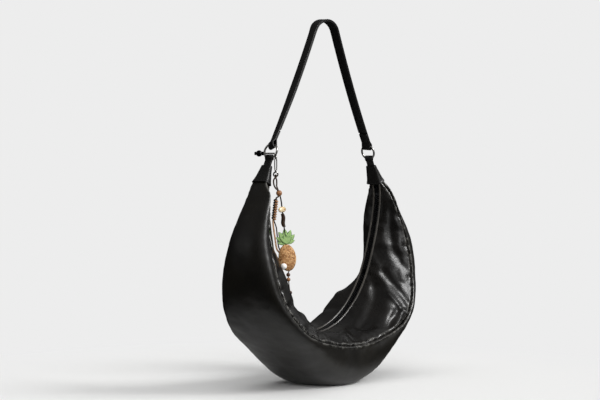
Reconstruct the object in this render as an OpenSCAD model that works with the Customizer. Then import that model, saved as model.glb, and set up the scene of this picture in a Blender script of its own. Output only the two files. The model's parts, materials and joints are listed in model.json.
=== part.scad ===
/* [Crescent body] */
// Radius of the round stretch of the zip line
zip_r = 126; // [110:1:140]
// Height of the centre of that round stretch above the base
zip_centre_z = 197; // [180:1:215]
// Backward tilt of the zip's plane, in degrees
zip_tilt = 8; // [0:0.5:12]
// Depth of the arms from the zip line to the side seams
arm_depth = 55; // [40:1:70]
// Greatest width of the bag, front seam to back seam
body_w = 130; // [100:1:160]
// How far the outer panel reaches below the side seams at the bottom
keel_depth = 66; // [50:1:80]
// How far the front and back panels puff out
panel_puff = 15; // [6:0.5:20]
// Thickness of the leather
leather_t = 1.8; // [1.2:0.1:2.6]
// Thickness of the fabric lining
lining_t = 0.6; // [0.4:0.1:1]

/* [Zip] */
// Half of the space between the two leather edges along the zip
zip_half_gap = 5.3; // [4.5:0.1:7]
// Width of each zip tape
tape_w = 6.8; // [6:0.1:7.4]
// Thickness of the zip tapes
tape_t = 0.6; // [0.4:0.1:1]
// Spacing of the teeth on one tape
tooth_pitch = 3.2; // [2.4:0.1:5]
// Length of one tooth along the zip
tooth_l = 1.3; // [0.9:0.1:1.8]
// Thickness of the teeth through the tape
tooth_t = 2; // [1.6:0.1:2.4]
// Width of one row of teeth
tooth_w = 2.4; // [1.8:0.1:2.6]
// Length of the slider along the zip
slider_l = 10; // [8:0.5:14]
// Length of the slider's pull
pull_l = 26; // [20:1:30]
// Width of the pull
pull_w = 6; // [5:0.5:7.5]

/* [End caps and rings] */
// How far outside the zip's circle each ring hangs
ring_out = 4; // [1:0.5:12]
// Height of the ring centres
ring_z = 346; // [330:1:370]
// How far the ring centres and the strap lie behind the middle of the bag
ring_y = 3; // [0:0.5:8]
// Radius of the rings, at the middle of the wire
ring_r = 11; // [9.5:0.5:14]
// Radius of the ring wire
ring_wire = 1.5; // [1.2:0.1:2]
// Inward lean of the caps, in degrees from upright
cap_lean = 27; // [18:1:30]
// Height of a leather end cap
cap_h = 29; // [24:1:36]
// Width of a cap at its lower edge
cap_w = 28; // [24:1:32]
// Thickness of a cap at its lower edge
cap_t = 17; // [14:0.5:20]
// Width of a cap at its neck
neck_w = 16.6; // [16.4:0.1:20]
// Thickness of a cap at its neck
neck_t = 7; // [6.8:0.1:10]
// Width of the tab that holds a ring
tab_w = 12; // [9:0.5:12]
// Thickness of one ply of the tab
tab_t = 1.5; // [1:0.1:1.6]

/* [Strap] */
// Height of the top of the strap
strap_top_z = 544; // [500:1:600]
// Width of the strap
strap_w = 15; // [12:0.5:18]
// Thickness of each of the strap's two plies
ply_t = 1.9; // [1.4:0.1:2.4]
// Radius of the bend at the top of the strap
strap_bend_r = 28; // [22:1:40]
// Lean of the strap's legs where they leave the top bend, in degrees from upright
strap_lean = 28; // [24:1:30]
// Length of the turned-back end above a ring
fold_l = 20; // [14:1:30]
// Forward lean of the whole strap from upright, in degrees
strap_tip = 2; // [0:0.5:5]

/* [Charm] */
// Angle of the hook's bar from the width of the bag, in degrees
hook_turn = 37; // [20:1:45]
// Radius of the hook's rod
hook_rod = 1.3; // [1:0.1:1.5]
// Drop from the hook's bar to the centre of its eye
hook_drop = 30; // [24:1:36]
// Length of the screw-on knob
knob_l = 13; // [10:0.5:16]
// Radius of the knob's ball
knob_r = 4.6; // [3.5:0.1:5.5]
// Forward swing of the string where it leans on the bag, in degrees
string_swing = 8; // [0:0.5:12]
// Radius of the cords
cord_r = 0.8; // [0.6:0.1:1]
// Radius of the wooden bead at the top
top_bead_r = 4.3; // [3.5:0.1:5]
// Length of the braided piece
braid_l = 29; // [22:1:34]
// Radius of the braided piece
braid_r = 3.9; // [3:0.1:4.5]
// Length of the shell toggle
shell_l = 15; // [12:0.5:18]
// Length of the dark wrapped bead
wrap_l = 20; // [14:0.5:22]
// Width of the pineapple
pine_w = 26.2; // [20:0.2:30]
// Height of the pineapple's body
pine_h = 38.8; // [32:0.2:44]
// Thickness of the pineapple
pine_t = 12; // [8:0.5:14]
// Length of the middle leaf of the crown
leaf_l = 24; // [16:0.5:28]
// Radius of the pearl
pearl_r = 4.6; // [3.5:0.1:5.5]
// Radius of the small beads on the tail
small_bead_r = 2.9; // [2.2:0.1:3.4]

/* [Hidden] */

black_leather = "#1b1b1d";
black_cloth = "#2a2a2c";
black_metal = "#303236";
silver = "#b9bbbd";
dark_brown = "#3b2a20";
wood = "#a9794f";
tan = "#c9a783";
cream = "#e8d9bd";
leaf_green = "#7fc07a";
cork = "#b08350";
pearl_white = "#f2f0ec";

// Gap between pieces that lie against each other
fit_gap = 0.3;
// How far a cutter passes the face it cuts
overrun = 1;
// Sides of the round cuts and rods, of the beads, and of the rings
round_fn = 32;
ball_fn = 48;
ring_fn = 96;

// A place along the crescent is an angle: 0 at the bottom, round_deg where the round stretch of the
// zip ends, tip_deg at a cap's lower edge, and end_deg at the arm's end inside the cap.
round_deg = 74;
tip_deg = 120;
end_deg = 128;
step_deg = 6;
key_deg = 10;
stations = concat([-end_deg, -end_deg/2 - tip_deg/2], [for (p = [-tip_deg:step_deg:tip_deg]) p],
    [end_deg/2 + tip_deg/2, end_deg]);

// Wall of an end cap, and how far the arm and the tab go into it
cap_wall = 1.5;
arm_tuck = 12;
cap_room = 0.6;
tab_tuck = 9;
// Free height of the tab between the cap and the ring wire
tab_h = 12;
// Section of the arm at the cap's lower edge and at its end inside the cap
tip_t = cap_t - 2*(cap_wall + cap_room);
tip_w = cap_w - 2*(cap_wall + cap_room);
arm_end_share = 0.6;
// Backward place of the zip at the cap
tip_y = -4;
// How far the zip's upper curve is drawn on from the round stretch and from the cap
zip_bend_share = 0.37;
cap_bend_share = 0.19;
// Forward place of the arms' shoulders
shoulder_y = -6;

// Up along the right cap, and outward across it
cap_up = [-sin(cap_lean), 0, cos(cap_lean)];
cap_out = [cos(cap_lean), 0, sin(cap_lean)];
ring_x = zip_r + ring_out;
ring_foot = [ring_x, ring_y, ring_z - ring_r];
cap_foot = ring_foot - (tab_h + cap_h)*cap_up;

// Shares of the body's sizes at every key_deg from the bottom up to the cap
depth_shares = [0.24, 0.26, 0.32, 0.43, 0.62, 0.83, 0.96, 1.00, 0.93, 0.74, 0.47, 0.21];
width_shares = [0.97, 0.985, 1.00, 1.00, 0.98, 0.94, 0.86, 0.74, 0.61, 0.49, 0.41, 0.32];
keel_shares = [1.00, 0.94, 0.84, 0.65, 0.42, 0.27, 0.25, 0.31, 0.39, 0.38, 0.22, 0.10];
front_puff_shares = [0.6, 0.6, 0.6, 0.65, 0.8, 0.9, 0.85, 0.7, 0.5, 0.36, 0.3, 0.2];
back_puff_shares = [0.9, 0.95, 1.0, 1.2, 1.45, 1.5, 1.25, 0.95, 0.85, 0.9, 0.8, 0.5];
shoulder_shares = [0, 0, 0, 0, 0.1, 0.2, 0.3, 0.4, 0.6, 0.9, 1, 0.6];
// Share of the tip's thickness that lies inside the side seams, and its puff
tip_depth_share = 0.55;
tip_puff_share = 0.02;
// How much the outer panel swells past the seams, and where it is widest
belly_share = 1.06;
shoulder_share = 0.3;
// Most that the opening along the zip may take of a section's width
gap_share = 0.3;
// Squareness of the outer panel's section at the bottom and in the arms
square_bottom = 2.9;
square_arm = 2.2;

function mix(a, b, u) = a + (b - a)*u;
function unit(v) = v/norm(v);
function reversed(v) = [for (i = [len(v) - 1:-1:0]) v[i]];

// Smooth curve through values that lie key_deg apart, mirrored at the bottom of the bag
function curve(p, v) =
    let (i = min(floor(p/key_deg), len(v) - 2), u = p/key_deg - i,
        a = v[abs(i - 1)], b = v[i], c = v[i + 1], d = v[min(i + 2, len(v) - 1)])
    b + (c - a)*u/2 + (2*a - 5*b + 4*c - d)*u*u/2 + (3*b - 3*c + d - a)*u*u*u/2;
// Value at place p, where tip is its value at the cap's lower edge
function along(p, shares, size, tip) =
    p <= tip_deg ? curve(p, concat(shares*size, [tip]))
    : tip*mix(1, arm_end_share, (p - tip_deg)/(end_deg - tip_deg));
function depth(p) = along(p, depth_shares, arm_depth, (tip_t - leather_t)*tip_depth_share);
function width(p) = along(p, width_shares, body_w, tip_w);
function keel(p) = along(p, keel_shares, keel_depth, (tip_t - leather_t)*(1 - tip_depth_share));
function puff(p, side) = along(p, side < 0 ? front_puff_shares : back_puff_shares, panel_puff,
    panel_puff*tip_puff_share);
function gap_half(p) = min(zip_half_gap, width(p)*gap_share);
function square_at(p) = mix(square_bottom, square_arm, min(p/round_deg, 1));

// The zip line in the right half
function zip_round(p) = [zip_r*sin(p), zip_r*cos(p)*sin(zip_tilt),
    zip_centre_z - zip_r*cos(p)*cos(zip_tilt)];
function tip_line(u) = cap_foot + cap_up*arm_tuck*u + [0, tip_y*(1 - u), 0]
    - cap_out*(tip_t*mix(1, arm_end_share, u)/2 - leather_t);
zip_end_round = zip_round(round_deg);
zip_reach = norm(tip_line(0) - zip_end_round);
zip_hold = zip_end_round + zip_bend_share*zip_reach
    *[cos(round_deg), -sin(round_deg)*sin(zip_tilt), sin(round_deg)*cos(zip_tilt)];
cap_hold = tip_line(0) - cap_bend_share*zip_reach*cap_up;
function zip_upper(u) =
    let (v = 1 - u)
    v*v*v*zip_end_round + 3*v*v*u*zip_hold + 3*v*u*u*cap_hold + u*u*u*tip_line(0);
function zip_line(p) =
    p <= round_deg ? zip_round(p)
    : p <= tip_deg ? zip_upper((p - round_deg)/(tip_deg - round_deg))
    : tip_line((p - tip_deg)/(end_deg - tip_deg));
// Turn of the section plane, from facing down at the bottom to lying across the cap at the tip
function facing(p) =
    p <= round_deg ? p
    : mix(round_deg, 90 + cap_lean, min((p - round_deg)/(tip_deg - round_deg), 1));
// How far the middle of a section lies behind the bag's middle
function mid_y(p) = p > tip_deg ? ring_y : along(p, shoulder_shares, shoulder_y, ring_y);
// A section point [depth, y] at place q of either half, no lower than the floor
function place(q, s, floor_z) =
    let (p = abs(q), b = zip_line(p), f = facing(p), side = q < 0 ? -1 : 1)
    [side*(b.x + s.x*sin(f)), s.y + mid_y(p), max(b.z - s.x*cos(f), floor_z)];

// A section point x outside the zip line and y beside it, in the zip's own tilted plane
function by_zip(p, x, y) = [x - y*cos(facing(p))*sin(zip_tilt), zip_line(p).y - mid_y(p) + y];

// Fullness of a panel's curve, and how the inner wall runs into a side seam
puff_power = 0.8;
seam_deep_share = 0.6;
seam_side_share = 1.1;

// Section curves as [depth, y], from a side seam to the next edge
function outer_curve(p) =
    let (d = depth(p), k = keel(p), w = width(p)/2, e = 2/square_at(p),
        edge = [for (v = [0, 0.5])
            [d + shoulder_share*k*v, -w*(belly_share - (belly_share - 1)*(1 - v)*(1 - v))]],
        arc = [for (t = [-90:18:90])
            [d + k*mix(shoulder_share, 1, pow(cos(t), e)), w*belly_share*sign(t)*pow(abs(sin(t)), e)]])
    concat(edge, arc, [for (i = [1, 0]) [edge[i].x, -edge[i].y]]);
function inner_curve(p, side) =
    let (seam = [depth(p), side*width(p)/2],
        c = by_zip(p, -leather_t, side*gap_half(p)) - seam, n = side*unit([c.y, -c.x]))
    [for (v = [0:0.125:1]) seam + c*v + n*puff(p, side)*pow(sin(180*v), puff_power)];
// The same curves moved inwards by t; hand is 1 where the bag's inside is on the left
function inset(pts, t, hand, first, end) =
    [for (i = [0:len(pts) - 1])
        i == 0 ? first : i == len(pts) - 1 ? end
        : let (g = unit(pts[i + 1] - pts[i - 1])) pts[i] + hand*t*[-g.y, g.x]];
function seam_inset(p, side, t) = [depth(p) + seam_deep_share*t, side*(width(p)/2 - seam_side_share*t)];
function outer_inset(p, t) =
    inset(outer_curve(p), t, 1, seam_inset(p, -1, t), seam_inset(p, 1, t));
function inner_inset(p, side, t, at_zip) =
    inset(inner_curve(p, side), t, side, seam_inset(p, side, t),
        by_zip(p, at_zip, side*gap_half(p)));

// Skin between the closed outlines in rings, which all have as many points. The second half of an
// outline runs back along the inner wall, so its facets are cut the other way and match the outer ones.
module loft(rings, inside_out = false) {
    n = len(rings[0]);
    points = [for (r = rings) for (q = r) q];
    sides = [for (k = [0:len(rings) - 2]) for (i = [0:n - 1])
        let (a = k*n + i, b = k*n + (i + 1) % n)
        each i < n/2 ? [[a, b, b + n], [a, b + n, a + n]] : [[a, b, a + n], [b, b + n, a + n]]];
    ends = [[for (i = [n - 1:-1:0]) i], [for (i = [0:n - 1]) (len(rings) - 1)*n + i]];
    faces = concat(sides, ends);
    polyhedron(points, inside_out ? [for (f = faces) reversed(f)] : faces, convexity = 10);
}

// Round cord of radius r along points; flat makes it wider than thick
cord_sides = 8;
module cord(points, r, flat = 1) {
    loft([for (i = [0:len(points) - 1])
        let (g = unit(points[min(i + 1, len(points) - 1)] - points[max(i - 1, 0)]),
            u = unit(cross([0, 1, 0.001], g)), v = cross(g, u))
        [for (k = [0:cord_sides - 1])
            points[i] + r*(cos(360*k/cord_sides)*u + sin(360*k/cord_sides)*v/flat)]], true);
}

module outer_panel() {
    color(black_leather) loft([for (q = stations) let (p = abs(q)) concat(
        [for (s = outer_curve(p)) place(q, s, 0)],
        [for (s = reversed(outer_inset(p, leather_t))) place(q, s, leather_t)])], true);
}

module inner_panel(side) {
    color(black_leather) loft([for (q = stations) let (p = abs(q)) concat(
        [for (s = inner_curve(p, side)) place(q, s, 0)],
        [for (s = reversed(inner_inset(p, side, leather_t, 0))) place(q, s, 0)])], side > 0);
}

// Fabric bag inside the leather. It stops short of the zip tapes.
lining_gap = 0.4;
lining_deg = 114;
module lining() {
    t0 = leather_t + lining_gap;
    t1 = t0 + lining_t;
    color(black_cloth) loft([for (q = [-lining_deg:step_deg:lining_deg]) let (p = abs(q)) concat(
        lining_ring(q, p, t0), reversed(lining_ring(q, p, t1)))], true);
}
function lining_ring(q, p, t) =
    let (front = inner_inset(p, -1, t, 0), back = inner_inset(p, 1, t, 0), outer = outer_inset(p, t))
    [for (s = concat([for (i = [6:-2:0]) front[i]], [for (i = [3:2:11]) outer[i]],
        [for (i = [0:2:6]) back[i]])) place(q, s, t)];

// The zip. Its round stretch lies in a tilted plane, and a curved one at each end runs to a cap.
// Gap between the two rows of teeth, where the slider's neck runs
row_gap = 1.2;
tape_seat = 0.2;
// Room between the tape and the leather that it lies along
tape_room = 0.35;
// Gap between the teeth and the tape's edge
tape_gap = 0.15;
tape_mid = tape_seat + tape_t/2;
zip_end_share = 0.86;
stop_l = 3;
curve_steps = 40;
curve_points = [for (i = [0:curve_steps]) zip_upper(i/curve_steps)];
function len_at(pts, i) = i == 0 ? 0 : norm(pts[i] - pts[i - 1]) + len_at(pts, i - 1);
curve_lens = [for (i = [0:curve_steps]) [len_at(curve_points, i), i/curve_steps]];
curve_l = len_at(curve_points, curve_steps)*zip_end_share;

module zip_plane() {
    translate([0, 0, zip_centre_z]) rotate([zip_tilt, 0, 0]) children();
}
// Frame on an upper stretch, s along it: z up along the zip, x away from the middle of the bag
function zip_dir(u) = unit(zip_upper(u + 1/curve_steps) - zip_upper(u - 1/curve_steps));
module zip_end(side, s) {
    u = lookup(s, curve_lens);
    g = zip_dir(u);
    mirror([side < 0 ? 1 : 0, 0, 0])
        translate(zip_upper(u)) rotate([-asin(g.y), atan2(g.x, g.z), 0]) children();
}
// A point x outside the zip line and y beside it, at place q of either half
function at_zip(q, x, y) =
    let (p = abs(q), u = (p - round_deg)/(tip_deg - round_deg), g = zip_dir(u), h = norm([g.x, g.z]),
        out = p <= round_deg ? [sin(p), cos(p)*sin(zip_tilt), -cos(p)*cos(zip_tilt)] : [g.z, 0, -g.x]/h,
        over = p <= round_deg ? [0, cos(zip_tilt), sin(zip_tilt)] : [-g.y*g.x/h, h, -g.y*g.z/h],
        at = zip_line(p) + x*out + y*over)
    [q < 0 ? -at.x : at.x, at.y, at.z];
tape_step = round_deg/20;
tape_deg = round_deg + (tip_deg - round_deg)*lookup(curve_l + stop_l, curve_lens);
tape_places = concat([for (u = [0:0.1:0.9]) -mix(tape_deg, round_deg, u)],
    [for (i = [-20:20]) i*tape_step], [for (u = [0.9:-0.1:0]) mix(tape_deg, round_deg, u)]);
// A tape lies flat beside the teeth and then follows the inside of the leather
module zip_tape(side) {
    y0 = side*(row_gap/2 + tooth_w + tape_gap);
    color(black_cloth) loft([for (q = tape_places)
        let (p = abs(q), y1 = side*gap_half(p), x0 = tape_seat, x1 = tape_seat + tape_t,
            a = tape_edge(p, side, x0), b = tape_edge(p, side, x1))
        [at_zip(q, x0, y0), at_zip(q, x0, y1), place(q, a, 0),
            place(q, b, 0), at_zip(q, x1, y1), at_zip(q, x1, y0)]], side < 0);
}
function tape_edge(p, side, x) =
    let (at = inner_inset(p, side, leather_t + x + tape_room, x), n = len(at), from = at[n - 1],
        far = norm(at[n - 2] - from))
    mix(from, at[n - 2], min(1, (tape_w - gap_half(p) + row_gap/2 + tooth_w)/far));
module tooth(side) {
    translate([-tooth_l/2, side < 0 ? -row_gap/2 - tooth_w : row_gap/2, -tape_mid - tooth_t/2])
        cube([tooth_l, tooth_w, tooth_t]);
}
module zip_teeth(side) {
    tooth_deg = tooth_pitch/zip_r*180/PI;
    shift = side < 0 ? 0.5 : 0;
    last_round = floor(round_deg/tooth_deg - 1);
    color(black_metal) {
        for (i = [-last_round:last_round - 1])
            zip_plane() rotate([0, -(i + shift)*tooth_deg, 0]) translate([0, 0, -zip_r]) tooth(side);
        for (end = [-1, 1]) for (i = [0:floor(curve_l/tooth_pitch) - 1])
            zip_end(end, (i + 0.5 + shift)*tooth_pitch) rotate([0, -90, 0]) tooth(side);
    }
}
module zip_end_stops() {
    w = row_gap + 2*tooth_w;
    color(black_metal) for (end = [-1, 1]) zip_end(end, curve_l + tooth_pitch/2 - stop_l/4)
        translate([tape_mid - tooth_t/2, -w/2, 0]) cube([tooth_t, w, stop_l]);
}

// The slider, drawn with x along the zip, y across it and z towards the middle of the crescent
slider_deg = round_deg - slider_l/zip_r*180/PI;
wing_t = 1.3;
wing_gap = 0.4;
flange_t = 0.8;
neck_t2 = 0.7;
bail_h = 6;
bail_t = 0.8;
bail_w = 3;
pin_r = 0.7;
pull_t = 1.6;
pin_play = 0.05;
// Wall of the pull's eye, and where its flat part starts
pull_wall = 1;
pull_flat_share = 0.8;
wing_room = 0.6;
wing_half = zip_half_gap - wing_room;
top_face = tooth_t/2 - tape_mid;
wing_top = top_face + wing_gap + wing_t;
under_face = -tape_mid - tooth_t/2;

module slider_place() {
    zip_plane() rotate([0, slider_deg, 0]) translate([0, 0, -zip_r]) children();
}
module zip_slider() {
    color(black_metal) slider_place() {
        difference() {
            union() {
                translate([-slider_l/2, -wing_half, top_face + wing_gap])
                    cube([slider_l, 2*wing_half, wing_t]);
                translate([-slider_l/2, -wing_half, under_face - wing_gap - wing_t])
                    cube([slider_l, 2*wing_half, wing_t]);
                for (y = [-wing_half, wing_half - flange_t]) {
                    translate([-slider_l/2, y, fit_gap - tape_seat])
                        cube([slider_l, flange_t, wing_top - fit_gap + tape_seat]);
                    translate([-slider_l/2, y, under_face - wing_gap - wing_t])
                        cube([slider_l, flange_t,
                            tape_mid + tooth_t/2 + wing_gap + wing_t - tape_seat - tape_t - fit_gap]);
                }
                translate([slider_l/5, -neck_t2/2, under_face - wing_gap - wing_t/2])
                    cube([slider_l/4, neck_t2, tooth_t + 2*wing_gap + wing_t]);
                for (y = [-bail_w/2 - bail_t, bail_w/2]) translate([-pin_r*2, y, wing_top - wing_t/2])
                    cube([pin_r*4, bail_t, bail_h + pin_r*2 - wing_top + wing_t/2]);
                translate([0, bail_w/2 + bail_t, bail_h]) rotate([90, 0, 0])
                    cylinder(r = pin_r, h = bail_w + 2*bail_t, $fn = round_fn);
            }
            // the corners at both ends are cut back, as the wings taper
            for (x = [-1, 1]) for (y = [-1, 1]) translate([x*slider_l/2, y*wing_half, 0])
                rotate([0, 0, 45]) cube([flange_t*2, flange_t*2, 4*bail_h], center = true);
        }
    }
}
module zip_pull() {
    eye_w = bail_w - fit_gap*2;
    hole_r = pull_w/4;
    color(black_metal) slider_place() translate([0, 0, bail_h]) difference() {
        union() {
            rotate([90, 0, 0]) cylinder(r = pin_r + pull_wall, h = eye_w, center = true, $fn = round_fn);
            translate([0, -eye_w/2, -pull_t/2]) cube([pull_w, eye_w, pull_t]);
            translate([pull_w*pull_flat_share, -pull_w/2, -pull_t/2])
                cube([pull_l - pull_w*(pull_flat_share + 0.5), pull_w, pull_t]);
            translate([pull_l - pull_w/2, 0, -pull_t/2])
                cylinder(r = pull_w/2, h = pull_t, $fn = round_fn);
        }
        rotate([90, 0, 0]) cylinder(r = pin_r + pin_play, h = 2*bail_w, center = true, $fn = round_fn);
        translate([pull_l - pull_w/2, 0, -pull_t])
            cylinder(r = hole_r, h = 2*pull_t, $fn = round_fn);
    }
}

// Leather end caps. In a cap's own frame z runs up it and x outward across it.
cap_keys = [0, 0.25, 0.5, 0.75, 1];
cap_flare_shares = [1, 0.70, 0.44, 0.20, 0];
// Squareness of a cap's outline
cap_power = 0.55;
module at_cap(side) {
    mirror([side < 0 ? 1 : 0, 0, 0]) translate(cap_foot) rotate([0, -cap_lean, 0]) children();
}
function cap_ring(u, flare, wall, z) =
    let (a = mix(neck_t, cap_t, flare)/2 - wall, b = mix(neck_w, cap_w, flare)/2 - wall)
    [for (t = [0:15:345]) [a*sign(cos(t))*pow(abs(cos(t)), cap_power),
        b*sign(sin(t))*pow(abs(sin(t)), cap_power), z]];
module end_cap(side) {
    outer = [for (i = [0:4]) cap_ring(i, cap_flare_shares[i], 0, cap_keys[i]*cap_h)];
    inner = [for (i = [4:-1:0]) cap_ring(i, cap_flare_shares[i], cap_wall, cap_keys[i]*cap_h)];
    n = len(outer[0]);
    points = [for (r = concat(outer, inner)) each r];
    m = len(outer) + len(inner);
    faces = [for (k = [0:m - 1]) for (i = [0:n - 1])
        let (a = k*n + i, b = k*n + (i + 1) % n, c = ((k + 1) % m)*n + i, d = ((k + 1) % m)*n + (i + 1) % n)
        each [[a, d, b], [a, c, d]]];
    color(black_leather) at_cap(side) polyhedron(points, faces, convexity = 8);
}

// The tab that holds a ring: a two-ply strip whose upper end is a loop round the wire.
// The loop's hole is as tall as the curved wire needs across the tab's width.
wire_hole = ring_wire + fit_gap;
function wire_rise(w) = ring_r - ring_wire - sqrt(pow(ring_r - ring_wire, 2) - w*w/4);
tab_rise = wire_rise(tab_w);
module loop_outline(r) {
    for (y = [0, tab_rise]) translate([0, y]) circle(r = r, $fn = round_fn);
    translate([-r, 0]) square([2*r, tab_rise]);
}
module ring_tab(side) {
    leg = tab_h + tab_tuck;
    color(black_leather) mirror([side < 0 ? 1 : 0, 0, 0]) translate(ring_foot) rotate([90, 0, 0])
        linear_extrude(tab_w, center = true) difference() {
            union() {
                loop_outline(wire_hole + tab_t);
                rotate(cap_lean) translate([-tab_t, -leg]) square([2*tab_t, leg]);
            }
            loop_outline(wire_hole);
        }
}
module ring(side) {
    color(silver) translate([side*ring_x, ring_y, ring_z]) rotate([0, 90, 0])
        rotate_extrude($fn = ring_fn) translate([ring_r, 0]) circle(r = ring_wire, $fn = round_fn);
}

// A strap loop's round end or its hole: a bar along y that is drawn upward by rise.
module loop_hole(at, rise, r, w) {
    for (z = [0, rise]) translate(at + [0, 0, z]) rotate([90, 0, 0])
        cylinder(r = r, h = w, center = true, $fn = round_fn);
    translate(at + [-r, -w/2, 0]) cube([2*r, w, rise]);
}

// The strap's middle line: a round bend at the top and a long leg to each ring
bend_z = strap_top_z - ply_t - strap_bend_r;
bend_end = 90 - strap_lean;
leg_start = strap_bend_r*[sin(bend_end), cos(bend_end)] + [0, bend_z];
leg_end = [ring_x, ring_z + ring_r];
leg_turn = leg_start + [sin(strap_lean), -cos(strap_lean)]*norm(leg_end - leg_start)/2;
leg_steps = 18;
half_line = concat([for (t = [0:bend_end/10:bend_end]) strap_bend_r*[sin(t), cos(t)] + [0, bend_z]],
    [for (i = [1:leg_steps]) let (u = i/leg_steps)
        (1 - u)*(1 - u)*leg_start + 2*u*(1 - u)*leg_turn + u*u*leg_end]);
strap_line = concat([for (p = reversed(half_line)) [-p.x, p.y]],
    [for (i = [1:len(half_line) - 1]) half_line[i]]);
strap_drop = wire_rise(strap_w);
function line_dir(pts, i) = unit(pts[min(i + 1, len(pts) - 1)] - pts[max(i - 1, 0)]);
function beside(pts, i, t) = let (g = line_dir(pts, i)) pts[i] + t*[-g.y, g.x];
// Band between two distances outside the line, drawn in x and z and as wide as the strap
module band(pts, t0, t1) {
    n = len(pts);
    translate([0, strap_w/2, 0]) rotate([90, 0, 0]) linear_extrude(strap_w)
        polygon(concat([for (i = [0:n - 1]) beside(pts, i, t1)],
            [for (i = [n - 1:-1:0]) beside(pts, i, t0)]));
}
// The strap leans forward, turned about the line through both rings
module strap_frame() {
    translate([0, ring_y, ring_z]) rotate([strap_tip, 0, 0]) translate([0, 0, -ring_z]) children();
}
module strap() {
    n = len(strap_line);
    fold = [for (i = [0:n - 1]) if (len_at(strap_line, i) < fold_l + ring_wire) strap_line[i]];
    color(black_leather) strap_frame() difference() {
        union() {
            band(strap_line, 0, ply_t);
            for (side = [-1, 1]) mirror([side < 0 ? 0 : 1, 0, 0]) {
                band(fold, -ply_t, 0);
                loop_hole([-ring_x, 0, ring_z + ring_r - strap_drop], strap_drop,
                    wire_hole + ply_t, strap_w);
            }
        }
        for (side = [-1, 1]) loop_hole([side*ring_x, 0, ring_z + ring_r - strap_drop], strap_drop,
            wire_hole, strap_w + 2*overrun);
    }
}
module strap_lining() {
    n = len(strap_line);
    whole = len_at(strap_line, n - 1);
    middle = [for (i = [0:n - 1]) let (s = len_at(strap_line, i))
        if (s > fold_l + ring_wire + fit_gap && s < whole - fold_l - ring_wire - fit_gap) strap_line[i]];
    color(black_leather) strap_frame() band(middle, -ply_t, 0);
}

// The charm. Its frame has its origin at the left ring's centre and x along the hook's bar.
tab_top = -ring_r + tab_rise + wire_hole + tab_t;
bar_z = tab_top + fit_gap + hook_rod;
bar_bend = 2.7;
// Room beside the tab's loop before the bar bends down and before the knob
bend_room = 2;
knob_room = 4;
bar_out = ring_wire*2 + wire_hole + bend_room;
knob_start = ring_wire*2 + wire_hole + knob_room;
// The knob's parts, as shares of its length and of its ball's radius
bore_share = 0.6;
collar_shares = [0.6, 0.16];
shaft_shares = [0.4, 0.3];
ball_share = 0.5;
button_shares = [0.55, 0.14];
eye_r = 3.2;
eye_wire = 1.1;
knob_play = 0.05;
module charm_frame() {
    translate([-ring_x, ring_y, ring_z]) rotate([0, 0, -hook_turn]) children();
}
module charm_hook() {
    x_leg = bar_out + bar_bend;
    leg = hook_drop - bar_bend - eye_r;
    color(silver) charm_frame() translate([0, 0, bar_z]) {
        translate([-knob_start - knob_l*bore_share, 0, 0]) rotate([0, 90, 0])
            cylinder(r = hook_rod, h = knob_start + knob_l*bore_share + bar_out, $fn = round_fn);
        translate([bar_out, 0, -bar_bend]) rotate([90, 0, 0])
            rotate_extrude(angle = 90, $fn = ball_fn) translate([bar_bend, 0])
                circle(r = hook_rod, $fn = round_fn);
        translate([x_leg, 0, -bar_bend - leg]) cylinder(r = hook_rod, h = leg, $fn = round_fn);
        translate([x_leg, 0, -hook_drop]) rotate([90, 0, 0])
            rotate_extrude($fn = ball_fn) translate([eye_r, 0]) circle(r = eye_wire, $fn = round_fn);
    }
}
module charm_knob() {
    color(black_metal) charm_frame() translate([-knob_start, 0, bar_z]) rotate([0, -90, 0]) difference() {
        union() {
            cylinder(r = knob_r*collar_shares[0], h = knob_l*collar_shares[1], $fn = round_fn);
            cylinder(r = knob_r*shaft_shares[0], h = knob_l - knob_r*shaft_shares[1], $fn = round_fn);
            translate([0, 0, knob_l*ball_share]) sphere(r = knob_r, $fn = ball_fn);
            translate([0, 0, knob_l*(1 - button_shares[1])])
                cylinder(r = knob_r*button_shares[0], h = knob_l*button_shares[1], $fn = round_fn);
        }
        translate([0, 0, -overrun]) cylinder(r = hook_rod + knob_play,
            h = knob_l*bore_share + overrun + fit_gap, $fn = round_fn);
    }
}
// The string's frame has its origin in the hook's eye and z up along the string
module string_frame() {
    charm_frame() translate([bar_out + bar_bend, 0, bar_z - hook_drop]) rotate([0, -string_swing, 0])
        children();
}

// Places along the string, down from the eye, as [sideways, back, up]
bead_at = [1.2, 0, -27.5];
braid_top = [-4.4, 0, -35.8];
braid_foot = [-12, 0, -63.8];
shell_at = [2.5, 0, -51.5];
wrap_at = [1.9, 0, -67];
crown_at = [2, 0, -101];
pine_at = [0.5, 0, -121.5];
pearl_at = [-8, -5.6, -132.5];
brown_at = [-1.5, 0, -146];
tan_at = [-2.2, 0, -152.8];
tail_at = [-2.4, 0, -172];

// The tan cord is a flat one
tan_wide = 1.6;
tan_flat = 2;

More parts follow.
